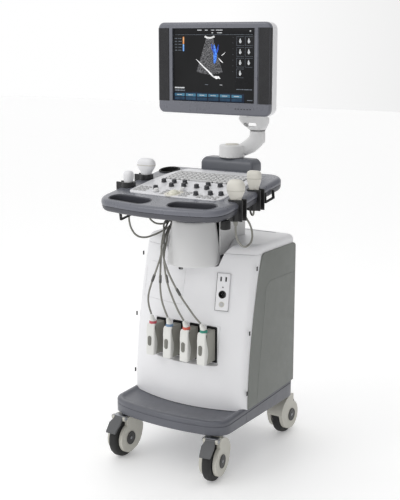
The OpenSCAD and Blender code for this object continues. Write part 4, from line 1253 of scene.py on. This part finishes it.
def make_arm():
    hub_axis = at(HUB[0], HUB[1], 0)
    drum = [(32, 916.2), (39.4, 916.6), (40.6, 918), (40.6, 951), (40, 953.8), (38, 955.6), (33, 956),
            (AXIS_R, 956)]
    lathe("arm_drum", drum, hub_axis, "arm", NECK_WHITE, ("monitor_arm",), 72)
    cap = [(20.6, 955), (21.2, 956.6), (20.6, 958.4), (18.4, 959.4), (AXIS_R, 959.7)]
    lathe("arm_drum_cap", cap, hub_axis, "arm", IVORY, segments=56)
    knots = [(Vector((14, 163, 936)), 21, 17), (Vector((29, 172, 940)), 22, 21),
             (Vector((46, 186, 951)), 23, 24), (Vector((59, 197, 966)), 24, 25),
             (Vector((63, 203, 985)), 24, 24)]
    rings = []
    direction = Vector((POST[0], POST[1], 0)) - Vector((HUB[0], HUB[1], 0))
    across = Vector((-direction.y, direction.x, 0)).normalized()
    for k, (centre, half_w, half_h) in enumerate(knots):
        a = knots[max(k - 1, 0)][0]
        b = knots[min(k + 1, len(knots) - 1)][0]
        along = (b - a).normalized()
        up = along.cross(across).normalized()
        rings.append([(centre + across * x + up * y) * MM
                      for x, y in superellipse(half_w, half_h, 2.6, 40)])
    loft("arm_limb", rings, "arm", NECK_WHITE, sharp=60)
    post_axis = at(POST[0], POST[1], 0)
    post = [(10, 956), (18, 957), (22.6, 960), (24.6, 965), (25, 972), (25, 994), (24.2, 997.6),
            (22, 999.4), (12, 999.8)]
    lathe("arm_post", post, post_axis, "arm", NECK_WHITE, segments=56)


def make_bracket():
    """A bowl with an oval hole, a block and a slanting limb up to the tilt barrel."""
    axis = at(POST[0], POST[1], 0)
    lathe("bracket_gasket", [(20, 1000.3), (25.2, 1000.4), (25.4, 1001.2), (25.2, 1002), (20, 1002)], axis,
          "bracket", SOFT_BLACK, segments=56)
    levels = [(1002, 63, 25, 24), (1003.2, 63, 26, 25), (1006, 62, 29, 25), (1010, 60, 34, 24.4),
              (1015, 57, 40, 23.4), (1020, 54.4, 45.6, 22), (1027, 52, 51, 20), (1034, 50.4, 53.6, 18.4),
              (1039, 50, 54, 17.6), (1042, 50, 53.4, 17), (1043.6, 50.2, 51.6, 15.4)]
    rings = []
    for z, cx, half_w, half_d in levels:
        rings.append([point(cx + x, POST[1] - 1 + y, z) for x, y in superellipse(half_w, half_d, 2.5, 64)])
    bowl = loft("bracket_bowl", rings, "bracket", NECK_WHITE, ("monitor_bracket",), sharp=50)
    hole = [(46 + x, 1018 + z) for x, z in rounded(50, 12.4, 6, 8)]
    carve(bowl, tool_from([[point(x, y, z) for x, z in hole] for y in (150, 250)]))
    block("bracket_block", place(), (68, 26, 26), (62, 201, 1054), "bracket", NECK_WHITE, radius=6, edge=3)
    spans = [(62, 201, 1054, 24, 20), (34, 196, 1058, 23, 20), (6, 182, 1068, 19, 21),
             (-14, 171, 1078, 15, 22), (-42, 165, 1084, 12, 20)]
    rings = [[point(x, y + a, z + b) for a, b in rounded(w, h, 4, 5)] for x, y, z, w, h in spans]
    loft("bracket_limb", rings, "bracket", NECK_WHITE, sharp=50)
    barrel = Matrix.Translation(TILT * MM) @ turn(90, "Y")
    lathe("tilt_barrel", [(5.2, -27.8), (11, -27.8), (12, -26.6), (12, 26.6), (11, 27.8), (5.2, 27.8)],
          barrel, "bracket", NECK_WHITE, segments=40)


make_pedestal()
make_arm()
make_bracket()


# ---------- monitor ----------

def facing(x, y, z):
    """Monitor coordinates: right, back from the bezel's front face, up."""
    return point(MONITOR.x + x, MONITOR.y + y, MONITOR.z + z)


def monitor_ring(inset, y, radius=20):
    outline = rounded(MONITOR_W - 2 * inset, MONITOR_H - 2 * inset, max(radius - inset * 0.6, 3), 10)
    return [facing(x, y, z) for x, z in outline]


def screen_tool(grow, y0, y1):
    outline = rounded(SCREEN_W + 2 * grow, SCREEN_H + 2 * grow, 2.5, 4)
    return tool_from([[facing(x, y, SCREEN_DZ + z) for x, z in outline] for y in (y0, y1)])


def make_bezel():
    levels = [(1.2, 14.4), (0.2, 13.6), (0, 12), (0, 6), (0.5, 3.4), (1.8, 1.5), (4, 0.4), (7, 0)]
    bezel = loft("bezel_frame", [monitor_ring(i, y) for i, y in levels], "monitor", SLATE,
                 ("monitor_bezel",), sharp=50)
    speakers = []
    for side in (-1, 1):
        x0 = side * SPEAKER_X
        speakers.append(tool_from([[facing(x0 + x, y, SCREEN_DZ + z) for x, z in rounded(44.4, 226, 1.2, 3)]
                                   for y in (-5, 2.4)]))
    carve(bezel, screen_tool(0, -5, 30), screen_tool(6, 5, 30), *speakers)
    for side, word in ((-1, "left"), (1, "right")):
        make_speaker(side, word)
    lip = [(3.2, 0.4), (2.6, -0.35), (1.2, -0.35), (0.1, 0.5), (0.1, 4.6)]
    rings = []
    for grow, y in lip:
        outline = rounded(SCREEN_W + 2 * grow, SCREEN_H + 2 * grow, 2.5 + grow, 4)
        rings.append([facing(x, y, SCREEN_DZ + z) for x, z in outline])
    bm = bmesh.new()
    add_loft(bm, rings, caps=False)
    trim = finished("screen_trim", bm, "monitor", SLATE, sharp=60)
    thick = trim.modifiers.new("thick", "SOLIDIFY")
    thick.thickness = 0.4 * MM


def make_speaker(side, word):
    """A grille of fine upright ribs that runs round the bezel's outer edge."""
    ribs = 12
    x0, x1 = 162.5, MONITOR_W / 2 - 0.3
    step = (x1 - x0) / ribs
    top, bottom = SCREEN_DZ + 112.4, SCREEN_DZ - 112.4
    profile = [(x0, 3.0)]
    for k in range(ribs):
        left = x0 + k * step
        edge = max(left + step - 197, 0)
        sink = edge * edge * 0.06
        profile += [(left + 0.15 * step, 0.9 + sink), (left + 0.3 * step, 0.3 + sink),
                    (left + 0.7 * step, 0.3 + sink), (left + 0.85 * step, 0.9 + sink)]
    profile += [(x1 + 0.6, 3.4), (x1 + 0.6, 12.5), (x1 - 1.2, 12.5), (x0 + 2, 3.2)]
    rings = [[facing(side * x, y, z) for x, y in profile] for z in (bottom, bottom + 0.6, top - 0.6, top)]
    loft(f"speaker_{word}", rings, "monitor", SPEAKER, sharp=35)


def make_monitor_buttons():
    bm = bmesh.new()
    for k in range(6):
        spot = place(Matrix.Translation(facing(84 + k * 10.5, 0, -120)))
        add_block(bm, spot, (5, 1.6, 2.2), (0, -0.3, 0), 0.7, 0.3)
    finished("monitor_buttons", bm, "monitor", SOFT_BLACK)


def make_rear_shell():
    levels = [(1.2, 16.6), (0.4, 17.6), (0.4, 34), (1.2, 42), (3.2, 49), (7, 54.4), (13, 58), (22, 59.6),
              (34, 60)]
    rings = [monitor_ring(i, y, 22) for i, y in levels]
    gap = [monitor_ring(i, y, 21) for i, y in ((4, 13.6), (1.4, 14.0), (1.4, 17.0), (4, 17.4))]
    loft("monitor_gasket", gap, "monitor", SOFT_BLACK, sharp=30)
    shell = loft("monitor_back", rings, "monitor", WHITE, ("monitor_rear_shell",), sharp=60)
    slots = []
    for row in range(9):
        z = 70 - row * 9
        slots.append(tool_from([[facing(x, y, z + h) for x, h in rounded(170, 3.6, 1.7, 4)]
                                for y in (57.5, 70)]))
    carve(shell, *slots)
    for side, word in ((-1, "left"), (1, "right")):
        x0 = side * EAR_X
        outline = arc(TILT.y - MONITOR.y, TILT.z - MONITOR.z, 11, -100, 100, 12)
        outline += [(58.5, TILT.z - MONITOR.z + 16), (58.5, TILT.z - MONITOR.z - 16)]
        rings = []
        for inset, x in ((1.2, -4), (0.2, -3.4), (0, -2.4), (0, 2.4), (0.2, 3.4), (1.2, 4)):
            ring = []
            for y, z in outline:
                centre_z = TILT.z - MONITOR.z
                ring.append(facing(x0 + x, y - inset * (y > 60),
                                   centre_z + (z - centre_z) * (1 - inset / 14)))
            rings.append(ring)
        loft(f"tilt_ear_{word}", rings, "monitor", IVORY, sharp=50)
    pin = Matrix.Translation(TILT * MM) @ turn(90, "Y")
    lathe("tilt_pin", [(4, -38.6), (5.0, -38), (5.0, 38), (4, 38.6)], pin, "monitor", STEEL, segments=32)


make_bezel()
make_monitor_buttons()
make_rear_shell()


# ---------- picture on the screen ----------

SCREEN_Y = 4.9
LAYER_GAP = 0.12
FILM = 0.05


def add_film(name, rings, material):
    """An open skin of the picture with a hair of depth."""
    bm = bmesh.new()
    add_loft(bm, rings, closed=False, caps=False)
    film = finished(name, bm, "monitor", material)
    depth = film.modifiers.new("depth", "SOLIDIFY")
    depth.thickness = FILM * MM


def tile(name, x0, z0, x1, z1, material, layer=1, radius=0.6):
    """A thin lit patch; x and z run from the screen's centre, layer keeps patches apart."""
    w, h = x1 - x0, z1 - z0
    cx, cz = (x0 + x1) / 2, (z0 + z1) / 2 + SCREEN_DZ
    y = SCREEN_Y - LAYER_GAP * layer
    rings = [[facing(cx + x, y + dy, cz + z) for x, z in rounded(w - 2 * i, h - 2 * i,
                                                                 min(radius, w / 3, h / 3), 3)]
             for i, dy in ((0, FILM), (0.1, 0))]
    loft(name, rings, "monitor", material)


def make_display():
    rings = [[facing(x, y, SCREEN_DZ + z) for x, z in rounded(w, h, 2, 3)]
             for w, h, y in ((SCREEN_W + 10, SCREEN_H + 10, 12.6), (SCREEN_W + 10, SCREEN_H + 10, 5.5),
                             (SCREEN_W - 0.4, SCREEN_H - 0.4, 5.2))]
    loft("display_panel", rings, "monitor", DISPLAY, ("screen",), sharp=30)


def make_fan():
    """The scan: a curved-array sector made of a polar grid."""
    speckle = glowing("scan_speckle", srgb(10, 10, 12), srgb(158, 158, 162), 420, 1.0, 0.42, 0.72)
    bright = glowing("scan_bright", srgb(190, 190, 190), srgb(248, 248, 248), 300, 1.1)
    apex_x, apex_z = -13, 118
    def sector(name, r0, r1, reach, material, layer):
        rings = []
        for r in (r0, r1):
            ring = []
            for x, z in arc(0, 0, r, -90 - reach, reach - 90, 40):
                ring.append(facing(apex_x + x, SCREEN_Y - LAYER_GAP * layer, SCREEN_DZ + apex_z + z))
            rings.append(ring)
        add_film(name, rings, material)
    sector("scan_fan", 34, 146, 19, speckle, 1)
    sector("scan_near_field", 32.5, 38, 30, bright, 2)


def stroke(name, points, widths, material, layer=3):
    """A tapering line of the picture through points on the screen."""
    left, right = [], []
    for k, (x, z) in enumerate(points):
        a = points[max(k - 1, 0)]
        b = points[min(k + 1, len(points) - 1)]
        d = Vector((b[0] - a[0], b[1] - a[1])).normalized()
        n = Vector((-d.y, d.x)) * widths[k] / 2
        left.append((x + n.x, z + n.y))
        right.append((x - n.x, z - n.y))
    y = SCREEN_Y - LAYER_GAP * layer
    rings = [[facing(x, y, SCREEN_DZ + z) for x, z in side] for side in (left, right)]
    add_film(name, rings, material)


def make_picture():
    make_fan()
    echo = glowing("scan_echo", srgb(200, 200, 202), srgb(255, 255, 255), 300, 1.2)
    flow = glowing("scan_flow", srgb(40, 84, 190), srgb(92, 156, 250), 240, 1.2)
    flow_dark = glowing("scan_flow_dark", srgb(28, 46, 120), srgb(64, 104, 214), 300, 1.1)
    stroke("scan_diaphragm", [(-62, 18), (-50, 8), (-36, -4), (-20, -16), (-6, -28), (6, -38)],
           [1.0, 3.4, 3.6, 4.2, 5.0, 2.4], echo)
    stroke("scan_far_echo", [(4, -34), (12, -37), (20, -36), (26, -40)], [3, 9, 7, 2], echo)
    stroke("scan_edge_echo", [(20, 22), (28, 14), (36, 8)], [1, 4, 1], echo)
    stroke("scan_side_echo", [(30, 30), (38, 34), (44, 40)], [1, 2.4, 0.8], echo)
    stroke("scan_flow_trunk", [(4, 62), (6, 48), (8, 34), (7, 18), (5, 6)], [4, 8, 12, 11, 5], flow, 4)
    stroke("scan_flow_branch", [(-5, 64), (-3, 52), (2, 42), (7, 34)], [3, 6, 6, 5], flow_dark, 4)
    stroke("scan_flow_branch_2", [(20, 62), (17, 50), (12, 38)], [3, 6, 6], flow_dark, 4)
    pale = glowing("picture_pale", srgb(160, 164, 168), srgb(226, 228, 230), 400, 1.0)
    dim = glowing("picture_dim", srgb(84, 90, 98), srgb(128, 136, 146), 300, 1.0)
    tab = glowing("picture_tab", srgb(44, 88, 116), srgb(82, 134, 160), 60, 1.0, 0.3, 0.7)
    tab_low = glowing("picture_tab_low", srgb(22, 44, 66), srgb(40, 74, 100), 60, 1.0, 0.3, 0.7)
    tray = glowing("picture_tray", srgb(8, 18, 34), srgb(18, 34, 56), 20, 1.0)
    black = glowing("picture_black", srgb(4, 5, 8), srgb(12, 13, 17), 200, 1.0)
    warm = glowing("picture_warm", srgb(214, 120, 50), srgb(250, 214, 160), 90, 1.1, 0.3, 0.7)
    cool = glowing("picture_cool", srgb(52, 110, 200), srgb(150, 200, 250), 90, 1.1, 0.3, 0.7)
    tile("picture_top_band", -148, 93, 148, 111, black, 1)
    tile("picture_rule", -140, 92, 140, 92.8, dim, 2, 0.2)
    for k, (x0, x1, z) in enumerate(((-58, -42, 106), (-30, -20, 106), (-8, 4, 106), (10, 34, 106),
                                     (-6, 0, 98), (14, 32, 98))):
        tile(f"picture_status_{k}", x0, z - 1.2, x1, z + 1.2, pale, 2)
    tile("picture_lamp", 129, 101, 134, 105, pale, 2, 1.5)
    tile("picture_tray", -148, -111, 112, -84, tray, 1)
    for k in range(6):
        x0 = -143 + k * 42
        tile(f"picture_tab_{k}", x0, -97, x0 + 37, -88, tab, 2, 1.5)
        tile(f"picture_tab_low_{k}", x0, -108, x0 + 37, -99.5, tab_low, 2, 1.5)
        tile(f"picture_tab_mark_{k}", x0 + 8, -93.4, x0 + 27, -91.6, pale, 3)
    tile("picture_note_high", -143, -73, -106, -69, pale, 2)
    tile("picture_note_low", -143, -81, -104, -77, dim, 2)
    tile("picture_caption", 84, -72, 140, -70, dim, 2)
    tile("picture_corner", 122, -104, 142, -102, dim, 2)
    tile("picture_bar_warm", -112, 64, -107, 86, warm, 2)
    tile("picture_bar_cool", -112, 42, -107, 63, cool, 2)
    for k in range(5):
        tile(f"picture_list_{k}", -142, 80 - 9 * k, -133, 81.8 - 9 * k, dim, 2)
        tile(f"picture_list_wide_{k}", -129, 80 - 9 * k, -117, 81.8 - 9 * k, dim, 2)
    tile("picture_side_band", 78, -66, 148, 91, black, 1)
    make_thumbnails(dim, pale)
    for k in range(7):
        tile(f"picture_scale_{k}", 70, 84 - 17 * k, 72.5, 85 - 17 * k, dim, 2)
    tile("picture_measure", -30, -60, -18, -58.6, dim, 2)
    tile("picture_measure_end", 24, -60, 34, -58.2, pale, 2)


def make_thumbnails(dim, pale):
    for k in range(7):
        column, row = k % 2, k // 2
        x0 = 84 + column * 30
        z1 = 87 - row * 32
        tile(f"thumb_{k}_top", x0, z1 - 0.7, x0 + 26, z1, dim, 2, 0.2)
        tile(f"thumb_{k}_foot", x0, z1 - 27, x0 + 26, z1 - 26.3, dim, 2, 0.2)
        tile(f"thumb_{k}_side", x0, z1 - 27, x0 + 0.7, z1, dim, 2, 0.2)
        cx = x0 + 13
        points = [(cx, z1 - 5), (cx - 0.6, z1 - 10), (cx + 0.4, z1 - 15), (cx - 0.8, z1 - 20)]
        stroke(f"thumb_{k}_echo", points, [1.5, 5, 9, 4], pale)


make_display()
make_picture()


# ---------- casters ----------

def caster_matrix(corner):
    x, y, angle = CASTERS[corner]
    return at(x, y, 0) @ turn(angle, "Z")


def make_wheel(corner):
    axle = caster_matrix(corner) @ at(0, -TRAIL, WHEEL_R) @ turn(90, "Y")
    body = "wheel_" + corner
    half = 14
    tread = [(44, -half + 1), (54, -half), (57.6, -half + 0.8), (60.4, -half + 3), (62.0, -half + 6.6),
             (WHEEL_R, -5), (WHEEL_R, 5), (62.0, half - 6.6), (60.4, half - 3), (57.6, half - 0.8),
             (54, half), (44, half - 1)]
    lathe(f"tyre_{corner}", tread, axle, body, TYRE, ("wheel_" + corner,), 96, sharp=60)
    core = [(AXIS_R, -11), (40, -11), (45, -12.6), (46, -10), (46, 10), (45, 12.6), (40, 11), (AXIS_R, 11)]
    lathe(f"wheel_core_{corner}", core, axle, body, HUB_GREY, segments=72)
    lathe(f"axle_{corner}", [(4, -31), (5, -30.4), (5, 30.4), (4, 31)], axle, body, STEEL, segments=32)
    for side in (-1, 1):
        disc = [(19, 28.5), (20.6, 28.7), (21, 29.6), (20.6, 30.8), (19, 31.3), (17.4, 31.0), (16.8, 30.4),
                (8, 30.6), (6.8, 31.2), (5.6, 31.2), (4.8, 30.6), (AXIS_R, 30.6)]
        turned = axle @ Matrix.Scale(side, 4, (0, 0, 1))
        word = "inner" if side < 0 else "outer"
        lathe(f"hub_cap_{word}_{corner}", disc, turned, body, HUB_GREY, segments=56)


def make_stem_bracket(corner):
    """Steel keeper between the fork and the pedal."""
    matrix = caster_matrix(corner)
    put = place(matrix)
    body = "caster_" + corner
    block(f"keeper_{corner}", put, (44, 20, 3), (0, -36, 135), body, STEEL, radius=4, edge=0.8)
    for side in (-1, 1):
        block(f"keeper_ear_{side + 2}_{corner}", put, (3, 14, 10), (side * 25.4, -44, 130.6), body, STEEL,
              radius=1.2, edge=0.8)
    lathe(f"stem_seal_{corner}", [(12, 137.2), (18, 137.2), (18.6, 138.2), (18, 139.4), (12, 139.4)],
          matrix, body, SOFT_BLACK, segments=40)


for corner_name in CASTERS:
    make_wheel(corner_name)
    from_cad("fork_" + corner_name, CREAM, 3.4, sharp=40.0, segments=3)
for corner_name in ("fl", "fr"):
    from_cad("pedal_" + corner_name, PEDAL_GREY, 1.2, sharp=28.0)
    make_stem_bracket(corner_name)


# ---------- floor and light ----------

def make_stage():
    bm = bmesh.new()
    bmesh.ops.create_grid(bm, x_segments=8, y_segments=8, size=14)
    mesh = bpy.data.meshes.new("floor")
    bm.to_mesh(mesh)
    bm.free()
    floor = bpy.data.objects.new("floor", mesh)
    link(floor)
    mesh.materials.append(FLOOR)


def area_light(name, location, target, size, power):
    data = bpy.data.lights.new(name, "AREA")
    data.shape = "RECTANGLE"
    data.size = size[0]
    data.size_y = size[1]
    data.energy = power
    light = bpy.data.objects.new(name, data)
    link(light)
    light.location = location
    aim = Vector(target) - Vector(location)
    light.rotation_mode = "QUATERNION"
    light.rotation_quaternion = aim.to_track_quat("-Z", "Y")


def make_backdrop(tree):
    """A white surround that dims towards the object's right, read from the world direction."""
    direction = tree.nodes.new("ShaderNodeTexCoord").outputs["Generated"]
    side = tree.nodes.new("ShaderNodeVectorMath")
    side.operation = "DOT_PRODUCT"
    side.inputs[1].default_value = (-0.94, -0.34, 0.0)
    tree.links.new(direction, side.inputs[0])
    dimmed = scaled(tree, side.outputs["Value"], 0.35, 1.0, -0.7, 0.2)
    tree.links.new(dimmed, tree.nodes["Background"].inputs["Strength"])


def make_light():
    world = bpy.data.worlds.new("studio")
    bpy.context.scene.world = world
    world.use_nodes = True
    world.node_tree.nodes["Background"].inputs["Color"].default_value = (1.0, 1.0, 1.0, 1)
    make_backdrop(world.node_tree)
    area_light("key", (-1.6, -2.6, 2.9), (0, 0, 0.7), (1.6, 1.6), 16)
    area_light("top", (0.2, 0.6, 3.2), (0, 0, 0.8), (2.0, 2.0), 8)


make_stage()
make_light()
bpy.context.scene.view_settings.view_transform = "Standard"


def write_sizes():
    import json


write_sizes()
